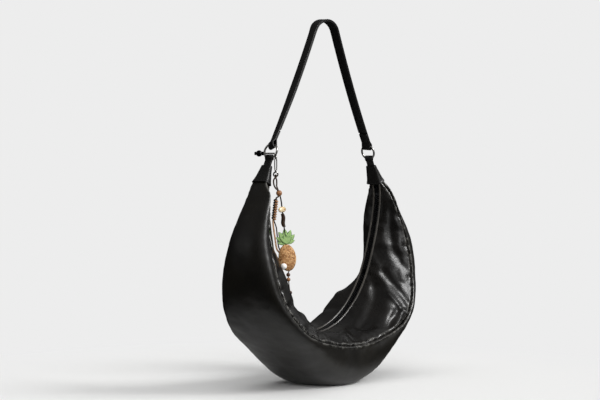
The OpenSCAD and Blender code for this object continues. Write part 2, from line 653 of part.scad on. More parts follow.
// The cords' routes, points chosen by hand
cord_loop_route = [[1.2, 1, -29], [1.1, 1.1, -25], [0.4, 1.3, -21.5], [-0.4, 1.6, -17], [0.3, 1.9, -13],
    [0.9, 2.4, -8.3], [0.3, 2.6, -5.6], [0, 2.6, -3.6], [0, 2.3, -2.3], [0, 1.3, -1.3], [0, 0, -1],
    [0, -1.3, -1.3], [0, -2.3, -2.3], [-0.6, -2.6, -3.6], [-2.8, -2.6, -5], [-4.8, -2.4, -7.4],
    [-5.4, -2.1, -11], [-5, -1.8, -15.5], [-3.2, -1.5, -19.8], [-1, -1.3, -22.4], [0.6, -1.1, -24.2],
    [1.2, -1, -26.5], [1.1, -0.8, -29.4], [0.4, -0.3, -31.2], [-1.4, 0, -32.6], [-3.3, 0, -33.4],
    [-4.2, 0, -34.5], [-4.37, 0, -35.7]];
tan_cord_route = [[-12.9, -0.3, -63.66], [-13.29, -0.3, -65.1], [-13.7, 0.1, -71.5], [-13.7, 0.9, -78.8],
    [-13.4, 1.7, -86], [-13.2, 1.9, -91], [-13.1, 2.4, -101], [-12.2, 3.6, -107], [-10, 4.8, -111],
    [-7.4, 5.3, -114]];
black_cord_route = [[-11.16, 1.4, -64.13], [-11.55, 1.4, -65.58], [-10.4, 1.6, -70], [-9.2, 2, -76],
    [-9.2, 2.3, -83], [-9.3, 3, -91], [-9.2, 4.2, -100], [-8.4, 5.2, -106], [-6.8, 5.7, -110.5]];
side_cord_route = [[2.1, 0, -31.4], [2.6, 0, -36], [2.8, 0, -42], [2.6, 0, -47], [2.5, 0, -51.5],
    [2.4, 0, -55.5], [2.1, 0, -58], [1.9, 0, -62], [1.9, 0, -67], [1.9, 0, -77], [1.7, 0, -85],
    [1.3, 0, -93], [0.7, 0, -101], [0.5, 0, -106]];
tail_cord_route = [[0.5, 0, -135], [0.5, 0, -140.4], [-1.25, 0, -143.4], [-1.5, 0, -146], [-1.8, 0, -148.8],
    [-2.2, 0, -150.6], [-2.2, 0, -152.8], [-2.3, 0, -158], [-2.5, 0, -165], [-2.4, 0, -172],
    [-2.4, 0, -174]];

module cord_loop() { color(dark_brown) string_frame() cord(cord_loop_route, cord_r); }
module tan_cord() { color(tan) string_frame() cord(tan_cord_route, cord_r*tan_wide, tan_flat); }
module black_cord() { color(black_leather) string_frame() cord(black_cord_route, cord_r); }
module side_cord() { color(black_leather) string_frame() cord(side_cord_route, cord_r); }
module tail_cord() { color(dark_brown) string_frame() cord(tail_cord_route, cord_r); }

bead_play = 0.3;
module bead(at, r, bore, tint, squash = 0.9) {
    color(tint) string_frame() translate(at) difference() {
        sphere(r = r, $fn = ball_fn);
        cylinder(r = bore, h = 2*r + overrun, center = true, $fn = round_fn);
        for (z = [-1, 1]) translate([0, 0, z*r*(1 + squash)]) cube(2*r, center = true);
    }
}
module top_bead() { bead(bead_at, top_bead_r, cord_r*2 + 2*bead_play, wood); }
module brown_bead() { bead(brown_at, small_bead_r, cord_r + bead_play, dark_brown); }
module tan_bead() { bead(tan_at, small_bead_r, cord_r + bead_play, wood); }
module tail_bead() { bead(tail_at, small_bead_r, cord_r + bead_play, dark_brown); }

// The braid is a row of full wraps that narrows at both ends
wraps = 9;
braid_end_share = 0.6;
braid_waist_share = 0.86;
module braid() {
    g = braid_foot - braid_top;
    lean = atan2(-g.x, -g.z);
    wrap = braid_l/wraps;
    color(wood) string_frame() translate(braid_top) rotate([0, lean, 0]) rotate_extrude($fn = ball_fn)
        polygon(concat([[0, 0]], [for (i = [0:wraps*4]) let (z = -i*wrap/4, e = i == 0 || i == wraps*4)
            [braid_r*(e ? braid_end_share : mix(braid_waist_share, 1, abs(sin(i*45)))), z]], [[0, -braid_l]]));
}
// Turn of the shell toggle from the hook's bar, in degrees, and its height and thickness for its length
shell_turn = 32;
shell_share = 0.53;
shell_flat_share = 0.62;
module shell_toggle() {
    h = shell_l*shell_share;
    t = h*shell_flat_share;
    color(cream) string_frame() translate(shell_at) rotate([0, 0, shell_turn]) difference() {
        intersection() {
            rotate([0, 90, 0]) cylinder(r = h/2, h = shell_l, center = true, $fn = ball_fn);
            rotate([90, 0, 0]) {
                cube([shell_l - h, h, t], center = true);
                for (x = [-1, 1]) translate([x*(shell_l - h)/2, 0, 0])
                    cylinder(r = h/2, h = t, center = true, $fn = ball_fn);
            }
        }
        cylinder(r = cord_r + bead_play, h = h + overrun, center = true, $fn = round_fn);
    }
}
// Radius of the wrapped bead for its length, its ends' share of that, and the height of a wrap
wrap_r_share = 0.17;
wrap_end_share = 0.62;
wrap_ridge = 0.3;
module wrapped_bead() {
    r = wrap_l*wrap_r_share;
    color(dark_brown) string_frame() translate(wrap_at) difference() {
        rotate_extrude($fn = ball_fn) polygon(concat([[0, -wrap_l/2]],
            [for (u = [0:0.05:1])
                [r*mix(wrap_end_share, 1, sin(180*u)) + (round(u*20) % 2)*wrap_ridge, (u - 0.5)*wrap_l]],
            [[0, wrap_l/2]]));
        cylinder(r = cord_r + 2*bead_play, h = wrap_l + overrun, center = true, $fn = round_fn);
    }
}
// A pointed leaf is where two round discs cross. Four shorter ones lie in front of the others.
leaf_t = 1.8;
leaf_w_share = 0.38;
leaf_rise_share = 0.42;
front_turns = [-40, -13, 13, 40];
front_share = 0.62;
front_step = 0.7;
// Depth of the leaves below their meeting point, where they are cut off, and the cord hole's place
crown_foot = 0.9;
crown_hole_x = -0.7;
leaf_turns = [-78, -52, -27, 0, 27, 52, 78];
leaf_shares = [0.62, 0.82, 0.94, 1, 0.94, 0.82, 0.62];
module leaf(l, t) {
    w = l*leaf_w_share;
    r = (l*l + w*w)/(4*w);
    translate([0, 0, l*leaf_rise_share]) rotate([90, 0, 0]) intersection() {
        translate([r - w/2, 0, 0]) cylinder(r = r, h = t, center = true, $fn = ring_fn);
        translate([w/2 - r, 0, 0]) cylinder(r = r, h = t, center = true, $fn = ring_fn);
    }
}
module leaf_crown() {
    color(leaf_green) string_frame() translate(crown_at) difference() {
        union() {
            for (i = [0:len(leaf_turns) - 1])
                rotate([0, leaf_turns[i], 0]) leaf(leaf_l*leaf_shares[i], leaf_t);
            for (a = front_turns) translate([0, -leaf_t*front_step, 0])
                rotate([0, a, 0]) leaf(leaf_l*front_share, leaf_t);
        }
        translate([-leaf_l, -leaf_l/2, -leaf_l]) cube([2*leaf_l, leaf_l, leaf_l - crown_foot]);
        translate([crown_hole_x, 0, 0])
            cylinder(r = cord_r + bead_play*2, h = 3*leaf_l, center = true, $fn = round_fn);
    }
}
pearl_seat = 0.05;
pine_fn = 30;
module pineapple() {
    color(cork) string_frame() difference() {
        translate(pine_at) resize([pine_w, pine_t, pine_h]) sphere(r = pine_h/2, $fn = pine_fn);
        translate(pearl_at) sphere(r = pearl_r + pearl_seat, $fn = ball_fn);
        translate(pine_at)
            cylinder(r = cord_r + bead_play, h = pine_h + overrun, center = true, $fn = round_fn);
    }
}
module pearl() {
    color(pearl_white) string_frame() translate(pearl_at) sphere(r = pearl_r, $fn = ball_fn);
}

outer_panel();
inner_panel(-1);  // front_panel
inner_panel(1);  // back_panel
lining();
zip_tape(-1);  // zip_tape_front
zip_tape(1);  // zip_tape_back
zip_teeth(-1);  // zip_teeth_front
zip_teeth(1);  // zip_teeth_back
zip_end_stops();
zip_slider();
zip_pull();
end_cap(-1);  // left_end_cap
end_cap(1);  // right_end_cap
ring_tab(-1);  // left_ring_tab
ring_tab(1);  // right_ring_tab
ring(-1);  // left_ring
ring(1);  // right_ring
strap();
strap_lining();
charm_hook();
charm_knob();
cord_loop();
top_bead();
braid();
tan_cord();
black_cord();
side_cord();
shell_toggle();
wrapped_bead();
leaf_crown();
pineapple();
pearl();
tail_cord();
brown_bead();
tan_bead();
tail_bead();
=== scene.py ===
import json
import math
import bpy
import bmesh
import numpy as np
from mathutils import Matrix, Vector, noise

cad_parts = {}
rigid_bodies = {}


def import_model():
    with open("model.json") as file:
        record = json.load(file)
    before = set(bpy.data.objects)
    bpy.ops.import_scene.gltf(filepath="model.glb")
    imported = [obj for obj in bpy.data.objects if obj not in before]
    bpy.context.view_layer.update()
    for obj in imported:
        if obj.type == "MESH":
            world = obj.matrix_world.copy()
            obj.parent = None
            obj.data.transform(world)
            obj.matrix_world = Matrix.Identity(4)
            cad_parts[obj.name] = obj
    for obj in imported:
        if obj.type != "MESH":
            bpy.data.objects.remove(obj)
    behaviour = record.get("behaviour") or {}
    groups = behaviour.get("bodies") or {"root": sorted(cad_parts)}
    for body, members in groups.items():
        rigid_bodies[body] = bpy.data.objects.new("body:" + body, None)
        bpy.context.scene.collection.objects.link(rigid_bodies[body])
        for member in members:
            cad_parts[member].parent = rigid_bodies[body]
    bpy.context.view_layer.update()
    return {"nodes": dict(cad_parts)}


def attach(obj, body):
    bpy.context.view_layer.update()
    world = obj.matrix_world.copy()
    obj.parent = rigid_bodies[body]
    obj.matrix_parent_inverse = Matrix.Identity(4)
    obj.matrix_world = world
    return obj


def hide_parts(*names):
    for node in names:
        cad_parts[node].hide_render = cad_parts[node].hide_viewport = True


for spare in list(bpy.data.objects):
    bpy.data.objects.remove(spare)
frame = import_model()
nodes = frame["nodes"]
MM = 0.001
scene = bpy.context.scene


# Colour and shader helpers
def tint(text):
    """An sRGB hex colour as Blender's linear numbers."""
    parts = [int(text[i:i + 2], 16) / 255 for i in (1, 3, 5)]
    return tuple(c / 12.92 if c <= 0.04045 else ((c + 0.055) / 1.055) ** 2.4 for c in parts) + (1.0,)


def add(tree, kind, at=None, **settings):
    """A node with its settings. at gives socket values, or the outputs that feed them."""
    made = tree.nodes.new(kind)
    for name, value in settings.items():
        setattr(made, name, value)
    for key, value in (at or {}).items():
        socket = made.inputs[key]
        if isinstance(value, bpy.types.NodeSocket):
            tree.links.new(value, socket)
        else:
            socket.default_value = value
    return made


def finish_of(name):
    """A new material with its tree, its shader and its place on the object in metres."""
    made = bpy.data.materials.new(name)
    made.use_nodes = True
    tree = made.node_tree
    shader = next(n for n in tree.nodes if n.type == "BSDF_PRINCIPLED")
    place = add(tree, "ShaderNodeTexCoord").outputs["Object"]
    return made, tree, shader, place


def set_shader(shader, **values):
    for name, value in values.items():
        shader.inputs[name.replace("_", " ")].default_value = value


def ramp(tree, factor, *stops):
    """A colour ramp from (place, hex) pairs."""
    made = add(tree, "ShaderNodeValToRGB", {"Fac": factor})
    while len(made.color_ramp.elements) < len(stops):
        made.color_ramp.elements.new(0.5)
    for element, (place, colour) in zip(made.color_ramp.elements, stops):
        element.position = place
        element.color = tint(colour) if isinstance(colour, str) else (colour, colour, colour, 1)
    return made.outputs["Color"]


def noise_at(tree, place, size_mm, detail, **more):
    """Noise with lumps about size_mm wide."""
    at = {"Vector": place, "Scale": 1 / (size_mm * MM), "Detail": detail}
    return add(tree, "ShaderNodeTexNoise", {**at, **more})


BANDS = 3.2  # stripes of a wave texture in one unit at scale 1


def wave(tree, place, size_mm, distortion, more=None, **settings):
    """Stripes size_mm wide."""
    return add(tree, "ShaderNodeTexWave", {"Vector": place, "Scale": 1 / (size_mm * MM) / BANDS,
                                           "Distortion": distortion, **(more or {})}, **settings)


def times(tree, a, b):
    return add(tree, "ShaderNodeMath", {0: a, 1: b}, operation="MULTIPLY").outputs[0]


def plus_times(tree, a, b, c, **settings):
    return add(tree, "ShaderNodeMath", {0: a, 1: b, 2: c}, operation="MULTIPLY_ADD", **settings).outputs[0]


def between(tree, value, **limits):
    """The value mapped from one range to another."""
    at = {name.replace("_", " ").title(): limit for name, limit in limits.items()}
    return add(tree, "ShaderNodeMapRange", {"Value": value, **at}).outputs["Result"]


def dye(tree, shader, factor, *stops):
    tree.links.new(ramp(tree, factor, *stops), shader.inputs["Base Color"])


def bump(tree, height, strength, depth_mm, more=None):
    return add(tree, "ShaderNodeBump", {"Strength": strength, "Distance": depth_mm * MM, "Height": height,
                                        **(more or {})}).outputs["Normal"]


def relief(tree, shader, height, strength, depth_mm):
    tree.links.new(bump(tree, height, strength, depth_mm), shader.inputs["Normal"])


GRAIN_MM, GLINT_FLECK_TONE = 1.8, "#9d9b95"  # width of the leather's grain, and the pale colour of the highlight flecks painted along the seams


def leather(name, dark, light, rough_low, rough_high, crackle=1.0, coat=0.25, crease_mm=7):
    """Black glazed cowhide, tumbled until it creases. The eye sees a deep black that mirrors softly,
    broken by fine cracks a few millimetres apart and by shallow creases. Its seams are worn to
    a shine; the pale flecks along them are painted highlights, glints of light on the cracked glaze."""
    made, tree, shader, place = finish_of(name)
    black = ramp(tree, noise_at(tree, place, 55, 3).outputs["Fac"], (0.3, dark), (0.75, light))
    worn = noise_at(tree, place, 24, 5, Roughness=0.6).outputs["Fac"]
    gloss = between(tree, worn, from_min=0.3, from_max=0.7, to_min=rough_low, to_max=rough_high)
    rub = add(tree, "ShaderNodeAttribute", attribute_name="rub").outputs["Fac"]
    tree.links.new(plus_times(tree, rub, -0.12, gloss), shader.inputs["Roughness"])
    tree.links.new(plus_times(tree, rub, 0.9, coat, use_clamp=True), shader.inputs["Coat Weight"])
    warp = noise_at(tree, place, 6, 2)
    pull = add(tree, "ShaderNodeVectorMath", {0: warp.outputs["Color"], "Scale": 1.8 * MM}, operation="SCALE")
    bent = add(tree, "ShaderNodeVectorMath", {0: place, 1: pull.outputs[0]}, operation="ADD")
    cells = add(tree, "ShaderNodeTexVoronoi", {"Vector": bent.outputs[0], "Scale": 1 / (GRAIN_MM * MM)},
                feature="DISTANCE_TO_EDGE")
    grain = between(tree, cells.outputs["Distance"], from_max=0.22)
    creases = noise_at(tree, place, crease_mm, 4, Roughness=0.62, Distortion=0.9).outputs["Fac"]
    soft = bump(tree, creases, 0.35 * crackle, 1.4)
    tree.links.new(bump(tree, grain, 0.30 * crackle, 0.16, {"Normal": soft}), shader.inputs["Normal"])
    # Pale flecks along the worn seams: painted highlights, standing in for glints of light on the cracked glaze
    glint_flecks = between(tree, creases, from_min=0.47, from_max=0.62, to_max=0.5)
    glinted = add(tree, "ShaderNodeMix", {0: times(tree, rub, glint_flecks), 6: black, 7: tint(GLINT_FLECK_TONE)},
                data_type="RGBA")
    tree.links.new(glinted.outputs[2], shader.inputs["Base Color"])
    set_shader(shader, IOR=1.5, Coat_Roughness=0.16)
    return made


def metal(name, light, dark, roughness):
    """Plated zinc casting, tumbled to a shine. The eye sees bright edges and faint hairlines."""
    made, tree, shader, place = finish_of(name)
    dye(tree, shader, noise_at(tree, place, 4, 3).outputs["Fac"], (0.3, dark), (0.7, light))
    hair = noise_at(tree, place, 0.35, 2).outputs["Fac"]
    gloss = between(tree, hair, to_min=roughness * 0.7, to_max=roughness * 1.4)
    tree.links.new(gloss, shader.inputs["Roughness"])
    set_shader(shader, Metallic=1.0)
    return made


def woven(name, dark, light, thread_mm):
    """Plain woven polyester. The eye sees a matt cloth with crossing threads."""
    made, tree, shader, place = finish_of(name)
    cross = times(tree, *[wave(tree, place, thread_mm, 0.4, bands_direction=axis).outputs["Fac"]
                          for axis in "XZ"])
    dye(tree, shader, cross, (0, dark), (0.6, light))
    relief(tree, shader, cross, 0.8, 0.12)
    set_shader(shader, Roughness=0.85)
    return made


def waxed(name, dark, light, lay_mm=0.9, roughness=0.5):
    """Twisted and waxed cotton cord. The eye sees slanting strands with a dull shine. Its UV runs along
    the cord."""
    made, tree, shader, place = finish_of(name)
    along_cord = add(tree, "ShaderNodeUVMap").outputs["UV"]
    strands = wave(tree, along_cord, lay_mm, 1.2, {"Detail Scale": 2}, bands_direction="DIAGONAL")
    mixed = times(tree, strands.outputs["Fac"], noise_at(tree, place, 1.6, 4).outputs["Fac"])
    dye(tree, shader, mixed, (0.05, dark), (0.5, light))
    relief(tree, shader, mixed, 0.7, 0.2)
    set_shader(shader, Roughness=roughness)
    return made


def turned_wood(name, dark, light):
    """Turned and oiled hardwood. The eye sees growth rings and short pores."""
    made, tree, shader, place = finish_of(name)
    rings = wave(tree, place, 1.1, 5, {"Detail": 3, "Detail Scale": 1.5}, wave_type="RINGS")
    mixed = times(tree, rings.outputs["Fac"], noise_at(tree, place, 0.6, 3).outputs["Fac"])
    dye(tree, shader, mixed, (0.1, dark), (0.6, light))
    relief(tree, shader, mixed, 0.4, 0.1)
    set_shader(shader, Roughness=0.42, Coat_Weight=0.15, Coat_Roughness=0.3)
    return made


panel_leather = leather("glazed_black_cowhide", "#0b0a09", "#141210", 0.25, 0.34, crackle=0.85, coat=0.12)
gusset_leather = leather("satin_black_cowhide", "#0c0b0a", "#16140f", 0.34, 0.44, crackle=0.35, coat=0.0)
strap_leather = leather("edge_painted_strap_leather", "#0b0a0a", "#141313", 0.38, 0.5, crackle=0.5, coat=0.0,
                        crease_mm=4)
# The welts are the panels' own black leather, coloured lighter here: a painted highlight along the folded
# edges, on top of their real polish
edge_leather = leather("polished_leather_edge", "#2c2a27", "#4a4641", 0.22, 0.34, crackle=0.5, coat=0.6)
cap_leather = leather("stitched_cap_leather", "#0c0b0b", "#181716", 0.34, 0.48, crackle=0.8, coat=0.0,
                      crease_mm=3.5)
tape_cloth = woven("ribbed_zip_tape", "#0a0a0b", "#1a1a1b", 0.5)
lining_cloth = woven("twill_lining", "#161617", "#2c2c2e", 0.6)
tooth_metal = metal("gunmetal_zip", "#77777a", "#3a3a3d", 0.34)
bright_metal = metal("polished_nickel", "#dcdad6", "#a9a7a3", 0.16)
dark_metal = metal("smoked_nickel", "#2a2a2c", "#111112", 0.26)
dark_thread = waxed("black_polyester_thread", "#0c0c0c", "#222222", 0.3, 0.6)
brown_cord = waxed("dark_brown_waxed_cord", "#1d120c", "#46301f")
black_cord_wax = waxed("black_waxed_cord", "#0e0b09", "#2a211b")
tan_cord_wax = waxed("tan_flat_cord", "#9c7250", "#d9b08a", 0.7, 0.6)
bead_wood = turned_wood("oiled_beech_bead", "#7a4f30", "#c08a5c")
dark_wood = turned_wood("stained_walnut_bead", "#2a1710", "#6a4029")


# Mesh helpers
def piece(name, points, faces, finish, body, slot, stands_for=(), uv=None):
    """A mesh piece from points in millimetres, riding on its body."""
    made = bpy.data.meshes.new(name)
    made.from_pydata([Vector(p) * MM for p in points], [], faces)
    made.materials.append(finish)
    made.polygons.foreach_set("use_smooth", [True] * len(made.polygons))
    if uv is not None:
        layer = made.uv_layers.new(name="UVMap")
        for loop in made.loops:
            layer.data[loop.index].uv = uv[loop.vertex_index]
    obj = bpy.data.objects.new(name, made)
    scene.collection.objects.link(obj)
    return settle(obj, body, stands_for)


def settle(obj, body, stands_for=()):
    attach(obj, body)
    if stands_for:
        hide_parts(*stands_for)
    return obj


def bake(obj):
    """The object's evaluated shape as a plain mesh, and its modifiers gone."""
    graph = bpy.context.evaluated_depsgraph_get()
    flat = bpy.data.meshes.new_from_object(obj.evaluated_get(graph))
    flat.name = obj.name
    obj.modifiers.clear()
    obj.data = flat
    return obj


def smooth_path(points, step=0.8):
    """Points every step along a Catmull-Rom curve through the given ones."""
    p = [Vector(q) for q in points]
    p = [p[0] * 2 - p[1]] + p + [p[-1] * 2 - p[-2]]
    out = []
    for i in range(1, len(p) - 2):
        n = max(2, int((p[i + 1] - p[i]).length / step))
        for k in range(n):
            u = k / n
            out.append(0.5 * ((2 * p[i]) + (p[i + 1] - p[i - 1]) * u
                              + (2 * p[i - 1] - 5 * p[i] + 4 * p[i + 1] - p[i + 2]) * u * u
                              + (3 * p[i] - p[i - 1] - 3 * p[i + 1] + p[i + 2]) * u * u * u))
    out.append(p[-2])
    return out


def frames_along(path, hint=(0, 1, 0.01), closed=False):
    """Two cross directions at each point of a path, carried along it without twist."""
    n, out, last = len(path), [], None
    for i in range(n):
        a = path[(i - 1) % n] if closed else path[max(i - 1, 0)]
        b = path[(i + 1) % n] if closed else path[min(i + 1, n - 1)]
        g = (b - a).normalized()
        u = Vector(hint).cross(g) if last is None else last - g * last.dot(g)
        u.normalize()
        last = u
        out.append((g, u, g.cross(u)))
    return out


def wrapped(rows, sides, closed=False):
    """Faces round a stack of rings with so many sides each."""
    faces = []
    for k in range(rows if closed else rows - 1):
        low, high = k * sides, (k + 1) % rows * sides
        faces += [(low + j, low + (j + 1) % sides, high + (j + 1) % sides, high + j) for j in range(sides)]
    return faces


DOME = (0.45, 0.9, 1.45)  # angles of the rings that round off a tube's end


def tube(path, radius, sides=12, flat=1.0, hint=(0, 1, 0.01), closed=False, dome=True):
    """Points, faces and UVs of a tube. radius is a number or a function of the share of its length."""
    cross = frames_along(path, hint, closed)
    lens = [0.0]
    for a, b in zip(path, path[1:]):
        lens.append(lens[-1] + (b - a).length)
    rings = []
    for p, (_, u, v), s in zip(path, cross, lens):
        rings.append((p, u, v, radius(s / lens[-1]) if callable(radius) else radius, s))
    if dome and not closed:
        first, last = rings[0], rings[-1]
        g0, g1 = cross[0][0], cross[-1][0]
        head = [(first[0] - g0 * first[3] * math.sin(t) / max(flat, 1), first[1], first[2],
                 first[3] * math.cos(t), first[4]) for t in DOME[::-1]]
        tail = [(last[0] + g1 * last[3] * math.sin(t) / max(flat, 1), last[1], last[2],
                 last[3] * math.cos(t), last[4]) for t in DOME]
        rings = head + rings + tail
    points, uv = [], []
    for p, u, v, r, s in rings:
        for j in range(sides):
            a = 2 * math.pi * j / sides
            points.append(p + u * math.cos(a) * r + v * math.sin(a) * r / flat)
            uv.append((s * MM, j / sides * 6.3 * r * MM))
    n = len(rings)
    faces = wrapped(n, sides, closed)
    if not closed:
        faces.append(tuple(range(sides))[::-1])
        faces.append(tuple((n - 1) * sides + j for j in range(sides)))
    return points, faces, uv


def lathe(profile, sides=40):
    """Points and faces of a turned shape from (radius, height) pairs, from its foot up."""
    angles = [2 * math.pi * j / sides for j in range(sides)]
    points = [Vector((r * math.cos(a), r * math.sin(a), z)) for r, z in profile for a in angles]
    return points, wrapped(len(profile), sides)


def joined(parts):
    """Several (points, faces) as one."""
    points, faces = [], []
    for p, f in parts:
        start = len(points)
        points += list(p)
        faces += [tuple(i + start for i in g) for g in f]
    return points, faces


def outward(obj):
    """Merges doubles and turns the faces outwards."""
    shape = bmesh.new()
    shape.from_mesh(obj.data)
    bmesh.ops.remove_doubles(shape, verts=shape.verts, dist=1e-6)
    bmesh.ops.recalc_face_normals(shape, faces=shape.faces)
    shape.to_mesh(obj.data)
    shape.free()
    return obj


# The row of repeated things
def row_tree(name, unit, finish):
    """Geometry nodes that set one copy of the unit at each point, turned to the point's own directions."""
    tree = bpy.data.node_groups.new(name, "GeometryNodeTree")
    face = tree.interface
    face.new_socket("Geometry", in_out="INPUT", socket_type="NodeSocketGeometry")
    size = face.new_socket("Size", in_out="INPUT", socket_type="NodeSocketFloat")
    size.default_value = 1.0
    uneven = face.new_socket("Unevenness", in_out="INPUT", socket_type="NodeSocketFloat")
    seed = face.new_socket("Seed", in_out="INPUT", socket_type="NodeSocketInt")
    face.new_socket("Geometry", in_out="OUTPUT", socket_type="NodeSocketGeometry")
    given = add(tree, "NodeGroupInput").outputs
    spots = add(tree, "GeometryNodeMeshToPoints", {"Mesh": given["Geometry"]})
    way = add(tree, "GeometryNodeInputNamedAttribute", {"Name": "along"}, data_type="FLOAT_VECTOR")
    lift = add(tree, "GeometryNodeInputNamedAttribute", {"Name": "lift"}, data_type="FLOAT_VECTOR")
    first = add(tree, "FunctionNodeAlignRotationToVector", {"Vector": way.outputs["Attribute"]}, axis="X")
    second = add(tree, "FunctionNodeAlignRotationToVector",
                 {"Rotation": first.outputs["Rotation"], "Vector": lift.outputs["Attribute"]},
                 axis="Z", pivot_axis="X")
    low = add(tree, "ShaderNodeMath", {0: 1.0, 1: given["Unevenness"]}, operation="SUBTRACT")
    high = add(tree, "ShaderNodeMath", {0: 1.0, 1: given["Unevenness"]}, operation="ADD")
    vary = add(tree, "FunctionNodeRandomValue", {2: low.outputs[0], 3: high.outputs[0], "Seed": given["Seed"]},
               data_type="FLOAT")
    scaled = add(tree, "ShaderNodeMath", {0: vary.outputs[1], 1: given["Size"]}, operation="MULTIPLY")
    shape = add(tree, "GeometryNodeObjectInfo", {"Object": unit})
    copies = add(tree, "GeometryNodeInstanceOnPoints",
                 {"Points": spots.outputs["Points"], "Instance": shape.outputs["Geometry"],
                  "Rotation": second.outputs["Rotation"], "Scale": scaled.outputs[0]})
    real = add(tree, "GeometryNodeRealizeInstances", {"Geometry": copies.outputs["Instances"]})
    painted = add(tree, "GeometryNodeSetMaterial", {"Geometry": real.outputs["Geometry"], "Material": finish})
    out = add(tree, "NodeGroupOutput")
    tree.links.new(painted.outputs["Geometry"], out.inputs[0])
    return tree, {"Size": size.identifier, "Unevenness": uneven.identifier, "Seed": seed.identifier}


def row_of(name, unit, spots, finish, body, stands_for=(), size=1.0, uneven=0.0, seed=1):
    """Copies of the unit at spots, which are (point, along, lift) in millimetres, as one plain mesh."""
    made = bpy.data.meshes.new(name)
    made.from_pydata([Vector(s[0]) * MM for s in spots], [], [])
    for label, k in (("along", 1), ("lift", 2)):
        attribute = made.attributes.new(label, "FLOAT_VECTOR", "POINT")
        attribute.data.foreach_set("vector", [c for s in spots for c in s[k]])
    obj = bpy.data.objects.new(name, made)
    scene.collection.objects.link(obj)
    tree, ids = row_tree(name + "_row", unit, finish)
    modifier = obj.modifiers.new("row", "NODES")
    modifier.node_group = tree
    modifier[ids["Size"]] = size
    modifier[ids["Unevenness"]] = uneven
    modifier[ids["Seed"]] = seed
    bake(obj)
    obj.data.polygons.foreach_set("use_smooth", [True] * len(obj.data.polygons))
    return settle(obj, body, stands_for)


def unit_mesh(name, points, faces, bevel=0.0):
    """A small shape in millimetres for the rows. It isn't shown itself."""
    made = bpy.data.meshes.new(name)
    made.from_pydata([Vector(p) * MM for p in points], [], faces)
    if bevel:
        shape = bmesh.new()
        shape.from_mesh(made)
        bmesh.ops.bevel(shape, geom=shape.edges[:], offset=bevel * MM, segments=1, affect="EDGES")
        shape.to_mesh(made)
        shape.free()
    return bpy.data.objects.new(name, made)


def block(x0, x1, y0, y1, z0, z1):
    points = [(x, y, z) for z in (z0, z1) for y in (y0, y1) for x in (x0, x1)]
    return points, [(0, 2, 3, 1), (4, 5, 7, 6), (0, 1, 5, 4), (2, 6, 7, 3), (0, 4, 6, 2), (1, 3, 7, 5)]


def capsule(length, width, height):
    """A stitch: a thread that dips into the leather at both ends. It lies along x."""
    path = [Vector((x * length / 2, 0, -height * abs(x) ** 3)) for x in (-1, -0.85, -0.5, 0, 0.5, 0.85, 1)]
    return tube(path, width / 2, 8, hint=(0, 1, 0), dome=False)[:2]


# The bag's sections, in millimetres
ZIP_R, ZIP_Z, TILT = 126, 197, math.radians(8)
ARM_DEPTH, BODY_W, KEEL, PUFF = 55, 130, 66, 15
WALL, GAP_HALF = 1.8, 5.3
RING_X, RING_Y, RING_Z, RING_R, WIRE = 130, 3, 346, 11, 1.5
CAP_LEAN, CAP_H, CAP_W, CAP_T, NECK_W, NECK_T = math.radians(27), 29, 28, 17, 16.6, 7
TAB_W, TAB_T, TAB_H, TAB_TUCK = 12, 1.5, 12, 9
ROUND, TIP, END, KEY = 74, 120, 128, 10
TIP_T, TIP_W = CAP_T - 4.2, CAP_W - 4.2
DEPTHS = [0.24, 0.26, 0.32, 0.43, 0.62, 0.83, 0.96, 1.00, 0.93, 0.74, 0.47, 0.21]
WIDTHS = [0.97, 0.985, 1, 1, 0.98, 0.94, 0.86, 0.74, 0.61, 0.49, 0.41, 0.32]
KEELS = [1.00, 0.94, 0.84, 0.65, 0.42, 0.27, 0.25, 0.31, 0.39, 0.38, 0.22, 0.10]
FRONT_PUFFS = [0.6, 0.6, 0.6, 0.65, 0.8, 0.9, 0.85, 0.7, 0.5, 0.36, 0.3, 0.2]
BACK_PUFFS = [0.9, 0.95, 1.0, 1.2, 1.45, 1.5, 1.25, 0.95, 0.85, 0.9, 0.8, 0.5]
SHOULDERS = [0, 0, 0, 0, 0.1, 0.2, 0.3, 0.4, 0.6, 0.9, 1, 0.6]
SIDES = {-1: "left", 1: "right"}
cap_up = np.array([-math.sin(CAP_LEAN), 0, math.cos(CAP_LEAN)])
cap_out = np.array([math.cos(CAP_LEAN), 0, math.sin(CAP_LEAN)])
ring_foot = np.array([RING_X, RING_Y, RING_Z - RING_R], float)
cap_foot = ring_foot - (TAB_H + CAP_H) * cap_up


def mix(a, b, u):
    return a + (b - a) * u


def share_of(v):
    """The value kept between 0 and 1."""
    return min(1, max(0, v))


def keyed(p, v):
    """Smooth curve through values that lie KEY degrees apart, mirrored at the bottom."""
    i = min(int(p // KEY), len(v) - 2)
    u = p / KEY - i
    a, b, c, d = v[abs(i - 1)], v[i], v[i + 1], v[min(i + 2, len(v) - 1)]
    return b + (c - a) * u / 2 + (2 * a - 5 * b + 4 * c - d) * u * u / 2 + (3 * b - 3 * c + d - a) * u ** 3 / 2


def along(p, shares, size, tip):
    if p <= TIP:
        return keyed(p, [s * size for s in shares] + [tip])
    return tip * mix(1, 0.6, (p - TIP) / (END - TIP))


def depth(p):
    return along(p, DEPTHS, ARM_DEPTH, (TIP_T - WALL) * 0.55)


def width(p):
    return along(p, WIDTHS, BODY_W, TIP_W)


def keel(p):
    return along(p, KEELS, KEEL, (TIP_T - WALL) * 0.45)


def puff(p, side):
    return along(p, FRONT_PUFFS if side < 0 else BACK_PUFFS, PUFF, PUFF * 0.02)


def zip_round(p):
    a = math.radians(p)
    return np.array([ZIP_R * math.sin(a), ZIP_R * math.cos(a) * math.sin(TILT),
                     ZIP_Z - ZIP_R * math.cos(a) * math.cos(TILT)])


def tip_line(u):
    return (cap_foot + cap_up * 12 * u + np.array([0, -4 * (1 - u), 0])
            - cap_out * (TIP_T * mix(1, 0.6, u) / 2 - WALL))


